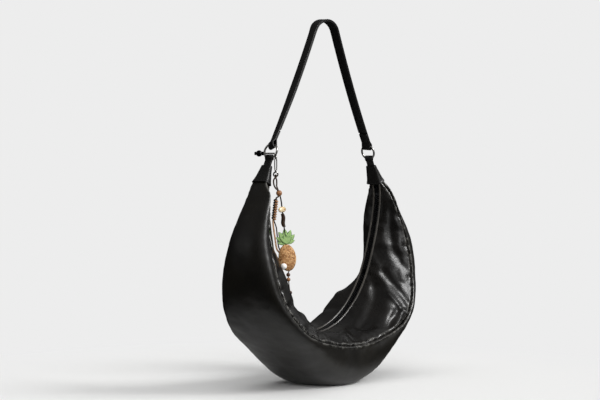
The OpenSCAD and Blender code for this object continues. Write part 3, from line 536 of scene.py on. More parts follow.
round_end = zip_round(ROUND)
reach = np.linalg.norm(tip_line(0) - round_end)
a74 = math.radians(ROUND)
hold_a = round_end + 0.37 * reach * np.array([math.cos(a74), -math.sin(a74) * math.sin(TILT),
                                              math.sin(a74) * math.cos(TILT)])
hold_b = tip_line(0) - 0.19 * reach * cap_up


def zip_upper(u):
    v = 1 - u
    return v ** 3 * round_end + 3 * v * v * u * hold_a + 3 * v * u * u * hold_b + u ** 3 * tip_line(0)


def zip_line(p):
    if p <= ROUND:
        return zip_round(p)
    return zip_upper((p - ROUND) / (TIP - ROUND)) if p <= TIP else tip_line((p - TIP) / (END - TIP))


def facing(p):
    return math.radians(p if p <= ROUND else mix(ROUND, 90 + 27, min((p - ROUND) / (TIP - ROUND), 1)))


def mid_y(p):
    return RING_Y if p > TIP else along(p, SHOULDERS, -6, RING_Y)


def place(q, s):
    """The point of a section at q degrees, for the section's own (depth, y). None lies under the floor."""
    p, side = abs(q), -1 if q < 0 else 1
    b, f = zip_line(p), facing(p)
    return Vector((side * (b[0] + s[0] * math.sin(f)), s[1] + mid_y(p), max(b[2] - s[0] * math.cos(f), 0.0)))


def gap_half(p):
    return min(GAP_HALF, width(p) * 0.3)


def by_zip(p, x, y):
    return np.array([x - y * math.cos(facing(p)) * math.sin(TILT), zip_line(p)[1] - mid_y(p) + y])


def outer_curve(p):
    """Section of the gusset as (depth, y) from the front seam round to the back one."""
    d, k, w = depth(p), keel(p), width(p) / 2
    e = 2 / mix(2.9, 2.2, min(p / ROUND, 1))
    edge = [(d + 0.3 * k * v, -w * (1.06 - 0.06 * (1 - v) ** 2)) for v in np.linspace(0, 1, 13)[:-1]]
    arc = [(d + k * mix(0.3, 1, math.cos(t) ** e), w * 1.06 * math.copysign(abs(math.sin(t)) ** e, t))
           for t in np.radians(np.linspace(-89.99, 89.99, 121))]
    return np.array(edge + arc + [(x, -y) for x, y in edge[::-1]])


def inner_curve(p, side):
    """Section of the front or back panel from its side seam to the zip."""
    seam = np.array([depth(p), side * width(p) / 2])
    c = by_zip(p, -WALL, side * gap_half(p)) - seam
    n = side * np.array([c[1], -c[0]]) / np.linalg.norm(c)
    v = np.linspace(0, 1, 81)
    return seam + np.outer(v, c) + np.outer(puff(p, side) * np.sin(np.pi * v) ** 0.8, n)


def steps(line):
    return np.linalg.norm(np.diff(line, axis=0), axis=1)


def lengths(line):
    """How far each point of a line lies from its start."""
    return np.concatenate([[0], np.cumsum(steps(line))])


def resampled(curve, marks):
    """Points of a section curve at the marks, which are millimetres from its start, as (x, y)."""
    lens = lengths(curve)
    return np.stack([np.interp(marks, lens, curve[:, c]) for c in (0, 1)], 1)


EDGE_ROWS = [0, 0.45, 0.95, 1.5, 2.2, 3.1, 4.3, 6.0, 8.2]
FULL_WIDTH = 60  # a narrower panel has its edge rows closer together
STATION = 0.75
stations = np.linspace(-END, END, int(2 * END / STATION) + 1)


def row_marks(total, middle):
    """Where the rows of a panel lie across it: close together by the seams, even in the middle."""
    head = np.array(EDGE_ROWS) * min(1, total / FULL_WIDTH)
    tail = total - head[::-1]
    mid = np.linspace(head[-1], tail[0], middle + 2)[1:-1]
    return np.concatenate([head, mid, tail])


def panel_grid(curve_of, middle):
    """Grid of points [station][row] of a panel, and how far each row lies from its first one."""
    grid, marks_all = [], []
    for q in stations:
        curve = curve_of(abs(q))
        marks = row_marks(steps(curve).sum(), middle)
        grid.append([place(q, s) for s in resampled(curve, marks)])
        marks_all.append(marks)
    return np.array(grid, float), np.array(marks_all)


def grid_normals(grid, hand):
    du = np.gradient(grid, axis=0)
    dv = np.gradient(grid, axis=1)
    n = np.cross(du, dv) * hand
    return n / np.maximum(np.linalg.norm(n, axis=2, keepdims=True), 1e-9)


def field(points, size, seed):
    """Smooth noise between about -1 and 1 at points in millimetres."""
    flat = points.reshape(-1, 3)
    off = Vector((seed * 17.3, seed * 5.1, seed * 9.7))
    out = np.array([noise.fractal(Vector(p) / size + off, 1.0, 2.0, 2) for p in flat])
    return out.reshape(points.shape[:-1])


CLOTH_SCALE, CLOTH_FRAMES = 10, 22  # the cloth is simulated ten times as large, for so many frames


def wrinkle_cloth(name, grid, grow, still, cap):
    """Lets a coarse copy of a panel swell a little as cloth held at its edges, and gives how it moved.
    The leather is cut longer than its seams, so it gathers into folds. grow is by how much, still
    its bending stiffness, and cap the most that a point may move, in millimetres."""
    rows, cols = grid.shape[:2]
    made = bpy.data.meshes.new(name + "_cloth")
    faces = [(i * cols + j, i * cols + j + 1, (i + 1) * cols + j + 1, (i + 1) * cols + j)
             for i in range(rows - 1) for j in range(cols - 1)]
    made.from_pydata([tuple(p * MM * CLOTH_SCALE) for p in grid.reshape(-1, 3)], [], faces)
    obj = bpy.data.objects.new(name + "_cloth", made)
    scene.collection.objects.link(obj)
    pin = obj.vertex_groups.new(name="held")
    held = [i * cols + j for i in range(rows) for j in (0, cols - 1)] + list(range(cols)) + \
           [(rows - 1) * cols + j for j in range(cols)]
    pin.add(held, 1.0, "REPLACE")
    cloth = obj.modifiers.new("cloth", "CLOTH")
    s = cloth.settings
    s.quality, s.mass, s.air_damping = 8, 0.5, 4
    s.tension_stiffness = s.compression_stiffness = 22
    s.shear_stiffness, s.bending_stiffness = 12, still
    s.shrink_min = -grow
    s.vertex_group_mass = "held"
    s.effector_weights.gravity = 0.25
    cloth.collision_settings.use_collision = False
    cloth.point_cache.frame_start, cloth.point_cache.frame_end = 1, CLOTH_FRAMES
    for f in range(1, CLOTH_FRAMES + 1):
        scene.frame_set(f)
    graph = bpy.context.evaluated_depsgraph_get()
    shape = obj.evaluated_get(graph).to_mesh()
    co = np.zeros(len(shape.vertices) * 3)
    shape.vertices.foreach_get("co", co)
    moved = co.reshape(rows, cols, 3) / (MM * CLOTH_SCALE) - grid
    obj.evaluated_get(graph).to_mesh_clear()
    bpy.data.objects.remove(obj)
    scene.frame_set(1)
    size = np.linalg.norm(moved, axis=2, keepdims=True)
    return moved * np.minimum(1, cap / np.maximum(size, 1e-6))


def spread(coarse, q_coarse, v_coarse, q_fine, v_fine):
    """A coarse grid's values at the fine grid's places."""
    out = np.zeros((len(q_fine), v_fine.shape[1], 3))
    along_q = np.stack([[np.interp(q_fine, q_coarse, coarse[:, j, c]) for c in range(3)]
                        for j in range(coarse.shape[1])], 0)
    for i in range(len(q_fine)):
        for c in range(3):
            out[i, :, c] = np.interp(v_fine[i], v_coarse, along_q[:, c, i])
    return out


def skin(name, grid, hand, finish, stands_for, rub, thick=1.5, slot="black_leather"):
    """A closed leather skin from a grid of points, with its thickness to the inside."""
    rows, cols = grid.shape[:2]
    n = grid_normals(grid, hand)
    inner = grid - n * thick
    inner[..., 2] = np.maximum(inner[..., 2], np.minimum(grid[..., 2] + 0.2, thick))
    points = np.concatenate([grid.reshape(-1, 3), inner.reshape(-1, 3)])
    k = rows * cols
    faces = []

    def quad(a, b, c, d):
        faces.append((a, b, c, d) if hand > 0 else (d, c, b, a))
    for i in range(rows - 1):
        for j in range(cols - 1):
            a, b, c, d = i * cols + j, (i + 1) * cols + j, (i + 1) * cols + j + 1, i * cols + j + 1
            quad(a, b, c, d)
            quad(k + d, k + c, k + b, k + a)
    for i in range(rows - 1):
        a, b = i * cols, (i + 1) * cols
        quad(k + a, k + b, b, a)
        a, b = a + cols - 1, b + cols - 1
        quad(a, b, k + b, k + a)
    for j in range(cols - 1):
        quad(j, j + 1, k + j + 1, k + j)
        e = (rows - 1) * cols + j
        quad(e + 1, e, k + e, k + e + 1)
    made = piece(name, points, faces, finish, "bag", slot, stands_for)
    # The seams' wear mask: where they are shinier, and where pale highlight flecks are painted
    shine = made.data.attributes.new("rub", "FLOAT", "POINT")
    shine.data.foreach_set("value", np.concatenate([rub.ravel(), rub.ravel()]))
    return made


# Leather body
SEAM_DEPTH, SEAM_HALF = 1.3, 1.6
# Where the leather rises beside its seam, and where it is worn to a shine and flecked with painted highlights:
# millimetres from the seam, half width
GUSSET_RISE, GUSSET_RUB_GLINT = (2.6, 1.5), (2.4, 1.8)
PANEL_RISE, PANEL_RUB_GLINT = (3.6, 2.2), (3.4, 1.9)


def hump(q, centre, half):
    """A bell curve, 1 high."""
    return np.exp(-((q - centre) / half) ** 2)


def seam_turn(marks):
    """How far the leather is turned in at each row by the seam at its start."""
    return -SEAM_DEPTH * hump(marks, 0, SEAM_HALF)


# Mask of the worn, shinier seams, which also places the painted highlight flecks
def rub_and_glint_at(marks, where, pucker):
    return hump(marks, *where) * np.clip(0.75 + 0.5 * pucker, 0, 1)


SHOULDER = 101  # place of the shoulders, in degrees from the bottom


def sag(grid, weight, front):
    """How the leather has settled: the shoulders lie closer to the zip than their pattern.
    weight is how much of it each row takes, front how far each row lies to the front, 0 to 1."""
    out = grid.copy()
    for i, q in enumerate(stations):
        f, hand = facing(abs(q)), -1 if q < 0 else 1
        drop = 5.5 * hump(q, SHOULDER, 12)
        back = 4.0 * hump(q, SHOULDER, 12) + 6.5 * hump(q, -SHOULDER, 15)
        out[i, :, 0] -= hand * drop * math.sin(f) * weight[i]
        out[i, :, 2] += drop * math.cos(f) * weight[i]
        out[i, :, 1] += back * weight[i] * front[i]
    return out


def swells(q, table):
    return sum(height * hump(q, at, half) for height, at, half in table)


def facing_out(grid, way):
    """The grid's normals on the side of the way given, and 1 or -1 for the side its faces show."""
    n = grid_normals(grid, 1)
    hand = 1 if (n[len(n) // 2, n.shape[1] // 2] @ np.array(way)) > 0 else -1
    return n * hand, hand


# Swells of the leather: height in mm, place and half width in degrees
GUSSET_SWELLS = [(3.0, -77, 14), (-3.2, -25, 13), (-4.0, SHOULDER, 9)]
FRONT_SWELLS = [(-4.5, -100, 17), (6.0, -72, 10)]
FRONT_LOW_SWELLS = [(3.5, -40, 14)]  # with its top nearer to the zip
BACK_SWELLS = [(-8.0, 75, 12), (2.5, 54, 9)]


def build_gusset():
    grid, marks = panel_grid(outer_curve, 30)
    across = marks / marks[:, -1:]
    grid = sag(grid, np.ones_like(across), np.clip(1 - across * 2, 0, 1))
    n, hand = facing_out(grid, [0, 0, -1])
    from_edge = np.minimum(marks, marks[:, -1:] - marks)
    lift = seam_turn(from_edge)
    pucker = field(grid * np.array([1, 0.25, 1]), 6.5, 3)
    lift += (0.95 + 0.4 * pucker) * hump(from_edge, *GUSSET_RISE)
    lift += pucker * 0.3 * np.exp(-from_edge / 9) * (1 - np.exp(-from_edge / 2))
    lift += field(grid, 46, 5) * 0.9 * (1 - np.exp(-from_edge / 12))
    lift += field(grid * np.array([1, 1, 1.8]), 15, 6) * 0.26
    lift += field(grid * np.array([1, 1, 0.7]), 30, 8) * 0.55 * (1 - np.exp(-from_edge / 8))
    q = stations[:, None] * np.ones_like(marks)
    lift += swells(q, GUSSET_SWELLS) * np.clip(from_edge / 14, 0, 1)
    low = np.clip((grid[..., 2] - 1) / 25, 0, 1)
    grid = grid + n * (lift * low)[..., None]
    grid[..., 2] = np.maximum(grid[..., 2], 0)
    skin("gusset_leather", grid, hand, gusset_leather, ["outer_panel"], rub_and_glint_at(from_edge, GUSSET_RUB_GLINT, pucker))
    return grid, n, hand


# Creases: a line of (place, share of the way from the seam to the zip), half width and height in mm
FRONT_FOLDS = [
    ([(60, 0.50), (58, 0.42), (55, 0.27), (53, 0.04)], 5.0, 4.2),
    ([(74, 0.66), (69, 0.48), (64, 0.28), (60, 0.06)], 6.5, -3.0),
    ([(52, 0.40), (49, 0.34)], 14, 4.0),
    ([(53, 0.15), (48, 0.10), (42, 0.06), (36, 0.03)], 3.6, 3.2),
    ([(56, 0.15), (51, 0.22), (45, 0.20), (38, 0.13)], 4.0, -2.6),
    ([(62, 0.74), (50, 0.64), (38, 0.55), (26, 0.45)], 12, -5.0),
    ([(-9, 0.42), (-3, 0.40)], 14, 4.0),
    ([(5, 0.14), (10, 0.34), (18, 0.60)], 7, -3.6),
    ([(-20, 0.15), (-22, 0.4), (-20, 0.7)], 8, -3.0),
    ([(100, 0.35), (92, 0.52), (84, 0.46), (78, 0.2)], 7, -2.4),
    ([(108, 0.7), (98, 0.78), (88, 0.8)], 7, 1.2),
    ([(-66, 0.05), (-62, 0.3), (-60, 0.55)], 6, -2.4),
    ([(-54, 0.1), (-50, 0.35), (-46, 0.6)], 7, 2.6),
    ([(-38, 0.05), (-36, 0.3), (-34, 0.6)], 6, -2.6)]
BACK_FOLDS = [
    ([(62, 0.1), (58, 0.4), (54, 0.7)], 8, 2.8), ([(35, 0.1), (37, 0.4), (40, 0.8)], 8, -2.6),
    ([(12, 0.1), (10, 0.5), (8, 0.8)], 9, 2.4), ([(-14, 0.1), (-12, 0.5)], 8, -2.6),
    ([(-38, 0.1), (-36, 0.4), (-30, 0.7)], 8, 2.8), ([(-62, 0.1), (-60, 0.5)], 8, -2.6)]


def crease(grid, share, line, half, height):
    """A soft ridge along a line on a panel, or a valley where height is below zero."""
    ends = []
    for q, v in line:
        i = int(np.argmin(np.abs(stations - q)))
        ends.append([np.interp(v, share[i], grid[i, :, c]) for c in range(3)])
    ends = np.array(ends)
    flat = grid.reshape(-1, 3)
    near = np.full(len(flat), 1e9)
    for a, b in zip(ends, ends[1:]):
        for u in np.linspace(0, 1, 12):
            near = np.minimum(near, np.linalg.norm(flat - (a + (b - a) * u), axis=1))
    return height * hump(near, 0, half).reshape(share.shape)


ARM = 112  # the cloth is simulated up to this many degrees


def build_panel(name, side, folds, stands_for, seed):
    grid, marks = panel_grid(lambda p: inner_curve(p, side), 22)
    share = marks / marks[:, -1:]
    q_coarse = np.linspace(-ARM, ARM, 113)
    v_coarse = np.linspace(0, 1, 15)
    coarse = []
    for q in q_coarse:
        curve = inner_curve(abs(q), side)
        coarse.append([place(q, s) for s in resampled(curve, v_coarse * steps(curve).sum())])
    coarse = np.array(coarse, float)
    start = coarse + grid_normals(coarse, 1) * (field(coarse, 16, seed) * 0.4)[..., None]
    moved = wrinkle_cloth(name, start, 0.02, 1.6, 1.2) + (start - coarse)
    ends = np.clip((ARM - np.abs(q_coarse)) / 10, 0, 1)[:, None, None]
    grid = grid + spread(moved * ends, q_coarse, v_coarse, stations, share)
    grid = sag(grid, 1 - share, np.full_like(share, 1.0 if side < 0 else 0.0))
    n, hand = facing_out(grid, [0, side, 1.0])
    lift = seam_turn(marks)
    q = stations[:, None] * np.ones_like(share)
    held = np.clip(marks / 5, 0, 1) * np.clip((marks[:, -1:] - marks) / 8, 0, 1)
    for line, half, height in folds:
        lift += crease(grid, share, line, half, height) * held
    lift += swells(q, FRONT_SWELLS if side < 0 else BACK_SWELLS) * np.sin(np.pi * share)
    if side < 0:
        lift += swells(q, FRONT_LOW_SWELLS) * np.sin(np.pi * share ** 1.6)
    pucker = field(grid * np.array([1, 0.3, 1]), 5.5, seed + 1)
    lift += (0.9 + 0.7 * pucker) * hump(marks, *PANEL_RISE)
    lift += 0.3 * pucker * np.exp(-marks / 12) * (1 - np.exp(-marks / 2))
    lift += field(grid, 30, seed + 2) * 0.5 * held
    grid = grid + n * lift[..., None]
    skin(name, grid, hand, panel_leather, stands_for, rub_and_glint_at(marks, PANEL_RUB_GLINT, pucker))
    return grid, n, hand


ZIP_ROWS = 4  # rows of the lining left off beside the zip, so that the slider runs clear


LINING_IN, LINING_T = 1.55, 0.4  # how far inside the leather's face the lining lies, and its thickness


def build_lining(parts):
    """The lining is caught in the seams and follows the leather on its inside."""
    for name, (grid, n, hand) in parts.items():
        inner = (grid[::2] - n[::2] * LINING_IN)[:, :None if name == "gusset_lining" else -ZIP_ROWS]
        inner[..., 2] = np.maximum(inner[..., 2], LINING_IN)
        skin(name, inner, hand, lining_cloth, ["lining"], np.zeros(inner.shape[:2]), LINING_T, "lining_fabric")


gusset = build_gusset()
front = build_panel("front_panel_leather", -1, FRONT_FOLDS, ["front_panel"], 11)
back = build_panel("back_panel_leather", 1, BACK_FOLDS, ["back_panel"], 23)
build_lining({"gusset_lining": gusset, "front_lining": front, "back_lining": back})


WELT_R = 1.6


def fold_edge(name, grid, n, stands_for):
    """The panel's edge beside the zip, folded back over itself into a round welt."""
    path = []
    for i in range(0, len(grid), 2):
        inward = grid[i, -4] - grid[i, -1]
        inward = inward / max(np.linalg.norm(inward), 1e-6)
        path.append(Vector(grid[i, -1] + inward * 0.7 + n[i, -2] * 0.1))
    points, faces, uv = tube(path, lambda share: WELT_R * min(1, 12 * share + 0.4, 12 * (1 - share) + 0.4), 12,
                             hint=(0, 1, 0.2))
    return outward(piece(name, points, faces, edge_leather, "bag", "black_leather", stands_for, uv))


fold_edge("front_zip_edge_welt", *front[:2], ["front_panel"])
fold_edge("back_zip_edge_welt", *back[:2], ["back_panel"])


# Stitches, teeth, zip
STITCH_STEP, STITCH_END = 4.0, 117  # millimetres apart, and degrees where the row ends


def stitches_on(grid, normals, row):
    """Spots for the stitches along one row of a panel."""
    line = grid[:, row]
    lens = lengths(line)
    spots = []
    for s in np.arange(STITCH_STEP, lens[-1] - STITCH_STEP, STITCH_STEP):
        i = int(np.searchsorted(lens, s)) - 1
        if abs(stations[i]) < STITCH_END:
            u = (s - lens[i]) / (lens[i + 1] - lens[i])
            g = line[i + 1] - line[i]
            spots.append((line[i] * (1 - u) + line[i + 1] * u + normals[i, row] * 0.25,
                          g / np.linalg.norm(g), normals[i, row]))
    return spots


stitch = unit_mesh("stitch_unit", *capsule(3.0, 0.62, 0.5))
row_of("zip_edge_stitches", stitch, stitches_on(*front[:2], -6) + stitches_on(*back[:2], -6), dark_thread,
       "bag", uneven=0.04, seed=3)


def zip_frame(q):
    """Point of the zip line, its direction and the way out of the crescent, for a place in either half."""
    p = abs(q)
    if p <= ROUND:
        a = math.radians(p)
        g = np.array([math.cos(a), -math.sin(a) * math.sin(TILT), math.sin(a) * math.cos(TILT)])
        out = np.array([math.sin(a), math.cos(a) * math.sin(TILT), -math.cos(a) * math.cos(TILT)])
    else:
        u = (p - ROUND) / (TIP - ROUND)
        g = zip_upper(min(u + 0.025, 1.02)) - zip_upper(u - 0.025)
        g = g / np.linalg.norm(g)
        out = np.array([g[2], 0, -g[0]]) / math.hypot(g[0], g[2])
    at = zip_line(p)
    if q < 0:
        at, g, out = at * [-1, 1, 1], g * [1, -1, -1], out * [-1, 1, 1]
    return at, g, out


TOOTH_STEP = 3.2
curve_u = np.linspace(0, 1, 41)
curve_s = lengths(np.array([zip_upper(u) for u in curve_u]))
curve_teeth = int(curve_s[-1] * 0.86 / TOOTH_STEP)


def tooth_spots(side):
    """Where the teeth of one side stand: round the circle, then up both arms."""
    shift = 0.5 if side < 0 else 0
    tooth_deg = TOOTH_STEP / ZIP_R * 180 / math.pi
    last = int(ROUND / tooth_deg - 1)
    places = [(i + shift) * tooth_deg for i in range(-last, last)]
    for end in (-1, 1):
        for i in range(curve_teeth):
            u = float(np.interp((i + 0.5 + shift) * TOOTH_STEP, curve_s, curve_u))
            places.append(end * (ROUND + u * (TIP - ROUND)))
    return [(at, g, -out) for at, g, out in map(zip_frame, places)]


def tooth_unit(side):
    lo, hi = (0.9, 3.0) if side > 0 else (-3.0, -0.9)
    head = (0.42, 1.3) if side > 0 else (-1.3, -0.42)
    points, faces = joined([block(-0.5, 0.5, lo, hi, -1.4, 0.4), block(-0.66, 0.66, *head, -1.5, 0.5)])
    return unit_mesh("tooth_unit_" + ("back" if side > 0 else "front"), points, faces, 0.22)


for side, label in ((-1, "front"), (1, "back")):
    row_of("zip_teeth_" + label + "_row", tooth_unit(side), tooth_spots(side), tooth_metal, "bag",
           ["zip_teeth_" + label], uneven=0.02, seed=5)


# Straps, tabs and caps
def strip(path, normals, across, width_mm, thick, edge=0.45):
    """A flat leather strap along a path. normals point out of its grain side and across along its
    width; the edges are rounded."""
    w, t = width_mm / 2, thick / 2
    rim = []
    for cx, cz, a0 in ((w - edge, t - edge, 0), (-w + edge, t - edge, 90), (-w + edge, -t + edge, 180),
                       (w - edge, -t + edge, 270)):
        rim += [(cx + edge * math.cos(math.radians(a0 + a)), cz + edge * math.sin(math.radians(a0 + a)))
                for a in (0, 30, 60, 90)]
    n = len(rim)
    points, uv, s = [], [], 0.0
    for i, (p, up, y) in enumerate(zip(path, normals, across)):
        p, up, y = Vector(p), Vector(up).normalized(), Vector(y)
        s += (p - Vector(path[i - 1])).length if i else 0
        for a, b in rim:
            points.append(p + y * a + up * b)
            uv.append((s * MM, (a + b) * MM))
    faces = wrapped(len(path), n)
    faces.append(tuple(range(n)))
    faces.append(tuple((len(path) - 1) * n + j for j in range(n))[::-1])
    return points, faces, uv


def normals_2d(path):
    out = []
    for i in range(len(path)):
        g = np.array(path[min(i + 1, len(path) - 1)]) - np.array(path[max(i - 1, 0)])
        g = g / np.linalg.norm(g)
        out.append(np.array([-g[1], g[0]]))
    return out


WIRE_HOLE = WIRE + 0.3


def wire_rise(w):
    """How far a strip w wide lies above the lowest point of the ring's inside."""
    return RING_R - WIRE - math.sqrt((RING_R - WIRE) ** 2 - w * w / 4)


def even_2d(path, step):
    path = np.array(path)
    total = lengths(path)[-1]
    return list(resampled(path, np.linspace(0, total, max(3, int(total / step) + 1))))


def build_tab(side):
    lean, r = CAP_LEAN, WIRE_HOLE + TAB_T / 2
    d, perp = np.array([-math.sin(lean), math.cos(lean)]), np.array([math.cos(lean), math.sin(lean)])
    rise = wire_rise(TAB_W)
    leg = [-d * s - perp * TAB_T / 2 for s in np.linspace(TAB_H + TAB_TUCK, 3.3, 14)]
    turn = []
    for a in np.radians(np.linspace(-108, -432, 55)):
        p = perp * math.cos(a) * r + d * math.sin(a) * r
        turn.append(p + np.array([0, rise * share_of((p[1] + 1.2) / 2.4)]))
    back = [-d * s + perp * TAB_T / 2 for s in np.linspace(3.3, TAB_H + TAB_TUCK, 14)]
    path = even_2d(leg + turn + back, 0.7)
    to3 = [Vector((side * (RING_X + p[0]), RING_Y, RING_Z - RING_R + p[1])) for p in path]
    nrm = [Vector((side * u[0], 0, u[1])) for u in normals_2d(path)]
    points, faces, uv = strip(to3, nrm, [(0, -side, 0)] * len(to3), TAB_W, TAB_T - 0.04)
    return outward(piece(SIDES[side] + "_tab_leather", points, faces, cap_leather, "bag", "black_leather",
                         [SIDES[side] + "_ring_tab"], uv))


CAP_FLARES = [1, 0.70, 0.44, 0.20, 0]  # from the cap's foot to its neck
# Rings of the cap: height, how far inside its face, and swell. First round its foot, then over its neck
CAP_RIM = [(0.9, 0.9), (0.25, 0.55), (0.0, 0.25, 0.1), (0.3, 0, 0.3), (0.9, 0, 0.42), (1.7, 0, 0.34),
           (2.3, 0, 0.12), (3.0,), (3.4, 0, -0.1), (4.0,)]
CAP_NECK = [(CAP_H - 1.0, 0, 0.15), (CAP_H - 0.3, 0, 0.05), (CAP_H, 0, -0.35), (CAP_H - 0.2, 1.0),
            (CAP_H - 1.5, 1.4)]
CAP_STITCH_Z, CAP_CORNER = 3.4, 0.55


def cap_ring(side, z, inset=0.0, swell=0.0, n=72):
    """A ring of the cap's leather, softly dented on its outside."""
    flare = float(np.interp(z / CAP_H, [0, 0.25, 0.5, 0.75, 1], CAP_FLARES))
    a = mix(NECK_T, CAP_T, flare) / 2 - inset + swell
    b = mix(NECK_W, CAP_W, flare) / 2 - inset + swell
    out = []
    for t in np.radians(np.arange(n) * 360 / n):
        x = a * math.copysign(abs(math.cos(t)) ** CAP_CORNER, math.cos(t))
        y = b * math.copysign(abs(math.sin(t)) ** CAP_CORNER, math.sin(t))
        dent = 0.35 * noise.noise(Vector((x / 7, y / 7, z / 9 + side * 3))) if inset == 0 else 0
        k = 1 + dent / max(math.hypot(x, y), 1)
        out.append((x * k, y * k, z))
    return out


def build_cap(side):
    rings = CAP_RIM + [(z,) for z in np.linspace(5.0, CAP_H - 2.0, 20)] + CAP_NECK
    rings += [(z, 1.5) for z in np.linspace(CAP_H - 4, 2, 9)]
    rows = [cap_ring(side, *ring) for ring in rings]
    flip = Matrix.Scale(-1, 4, (1, 0, 0)) if side < 0 else Matrix.Identity(4)
    where = flip @ Matrix.Translation(Vector(cap_foot)) @ Matrix.Rotation(-CAP_LEAN, 4, "Y")
    name = SIDES[side]
    outward(piece(name + "_cap_leather", [where @ Vector(p) for r in rows for p in r],
                  wrapped(len(rows), len(rows[0]), True), cap_leather, "bag", "black_leather",
                  [name + "_end_cap"]))
    pts = [where @ Vector(p) for p in cap_ring(side, CAP_STITCH_Z, 0, 0.12, 120)]
    lens = [0]
    for a, b in zip(pts, pts[1:]):
        lens.append(lens[-1] + (b - a).length)
    centre = sum(pts, Vector()) / len(pts)
    axis = where.to_3x3() @ Vector((0, 0, 1))
    spots = []
    for s in np.arange(0, lens[-1] - 3, STITCH_STEP):
        i = int(np.searchsorted(lens, s + 1e-6)) - 1
        g = (pts[i + 1] - pts[i]).normalized()
        u = (s - lens[i]) / (lens[i + 1] - lens[i])
        p = pts[i] * (1 - u) + pts[i + 1] * u
        out = (p - centre) - axis * (p - centre).dot(axis)
        spots.append((p, g, (out - g * out.dot(g)).normalized()))
    row_of(name + "_cap_stitches", stitch, spots, dark_thread, "bag", size=0.9, seed=8)


for side in (-1, 1):
    build_tab(side)
    build_cap(side)


RING_TIPS = {-1: math.radians(18), 1: math.radians(17)}


def build_ring(side):
    """The pull of the strap leans the ring inwards on its foot."""
    path = []
    for a in np.linspace(0, 2 * math.pi, 96, endpoint=False):
        up = RING_R * (1 + math.sin(a))
        path.append(Vector((side * (RING_X - up * math.sin(RING_TIPS[side])), RING_Y + RING_R * math.cos(a),
                            RING_Z - RING_R + up * math.cos(RING_TIPS[side]))))
    name = SIDES[side] + "_ring"
    return outward(piece(name + "_wire", *tube(path, WIRE, 20, hint=(1, 0, 0), closed=True)[:2], bright_metal,
                         "bag", "bright_metal", [name]))


build_ring(-1)
build_ring(1)

# the strap, in the x and z of its own plane
STRAP_TOP, STRAP_W, PLY, BEND_R = 544, 15, 1.9, 28
STRAP_LEAN, FOLD_L, STRAP_TIP = math.radians(28), 20, math.radians(2)
bend_z = STRAP_TOP - PLY - BEND_R
bend_end = math.pi / 2 - STRAP_LEAN
leg_start = BEND_R * np.array([math.sin(bend_end), math.cos(bend_end)]) + [0, bend_z]
leg_end = np.array([RING_X, RING_Z + RING_R], float)
leg_turn = (leg_start + np.array([math.sin(STRAP_LEAN), -math.cos(STRAP_LEAN)])
            * np.linalg.norm(leg_end - leg_start) / 2)
half = [BEND_R * np.array([math.sin(t), math.cos(t)]) + [0, bend_z] for t in np.linspace(0, bend_end, 24)]
half += [(1 - u) ** 2 * leg_start + 2 * u * (1 - u) * leg_turn + u * u * leg_end
         for u in np.linspace(0, 1, 70)[1:]]
strap_frame = (Matrix.Translation((0, RING_Y, RING_Z)) @ Matrix.Rotation(STRAP_TIP, 4, "X")
               @ Matrix.Translation((0, 0, -RING_Z)))


def offset_2d(path, t):
    return [np.array(p) + t * n for p, n in zip(path, normals_2d(path))]


def both_legs(line):
    """A line down the right leg, and its mirror image before it."""
    return [np.array([-p[0], p[1]]) for p in line[::-1]] + line[1:]


LEG = 190  # length of a leg over which it is drawn in
STRAP_OUT = {-1: -4.5, 1: 2.0}  # how far each leg bows outwards on top


def drawn_in(p):
    """A place on the strap's middle line, moved in to the leaning ring at its lower end and outward on top."""
    low = share_of((RING_Z + RING_R + LEG - p[1]) / LEG) ** 1.3
    high = share_of((p[1] - RING_Z) / LEG) * min(1, abs(p[0]) / 20)
    side = -1 if p[0] < 0 else 1
    tip = RING_TIPS[side]
    return np.array([p[0] - math.copysign(2 * RING_R * math.sin(tip) * low, p[0]) + STRAP_OUT[side] * high,
                     p[1] - 2 * RING_R * (1 - math.cos(tip)) * low])


def twist_at(p):
    """Turn of the strap about its own line. The left leg turns its edge a little towards the front."""
    high = share_of((STRAP_TOP - p[1]) / 24)
    high = high * high * (3 - 2 * high)
    low = share_of((RING_Z + 90 - p[1]) / 80)
    return math.radians(-17 * high - 14 * low) if p[0] < 0 else math.radians(3 * high)


MIDDLE = even_2d(half, 1.5)
to_world = strap_frame.to_3x3()


def laid(p, u):
    """A point and a normal of the strap's section, and its width's direction, turned with the strap."""
    hand = np.array([-1 if p[0] < 0 else 1, 1])
    i = int(np.argmin([np.linalg.norm(m * hand - p) for m in MIDDLE]))
    g = (MIDDLE[min(i + 1, len(MIDDLE) - 1)] - MIDDLE[max(i - 1, 0)]) * hand * hand[0]
    g = g / np.linalg.norm(g)
    m = MIDDLE[i] * hand
    m = m + g * ((p - m) @ g)
    turn = Matrix.Rotation(twist_at(m), 3, to_world @ Vector((g[0], 0, g[1])))
    at, off = drawn_in(m), p - m
    return (strap_frame @ Vector((at[0], 0, at[1])) + turn @ (to_world @ Vector((off[0], 0, off[1]))),
            turn @ (to_world @ Vector((u[0], 0, u[1]))), turn @ (to_world @ Vector((0, 1, 0))))


def strap_ply(path, width_mm):
    return strip(*zip(*[laid(p, u) for p, u in zip(path, normals_2d(path))]), width_mm, PLY - 0.05)


LOOP_L = 3.2  # where the turn round the ring takes over from the leg


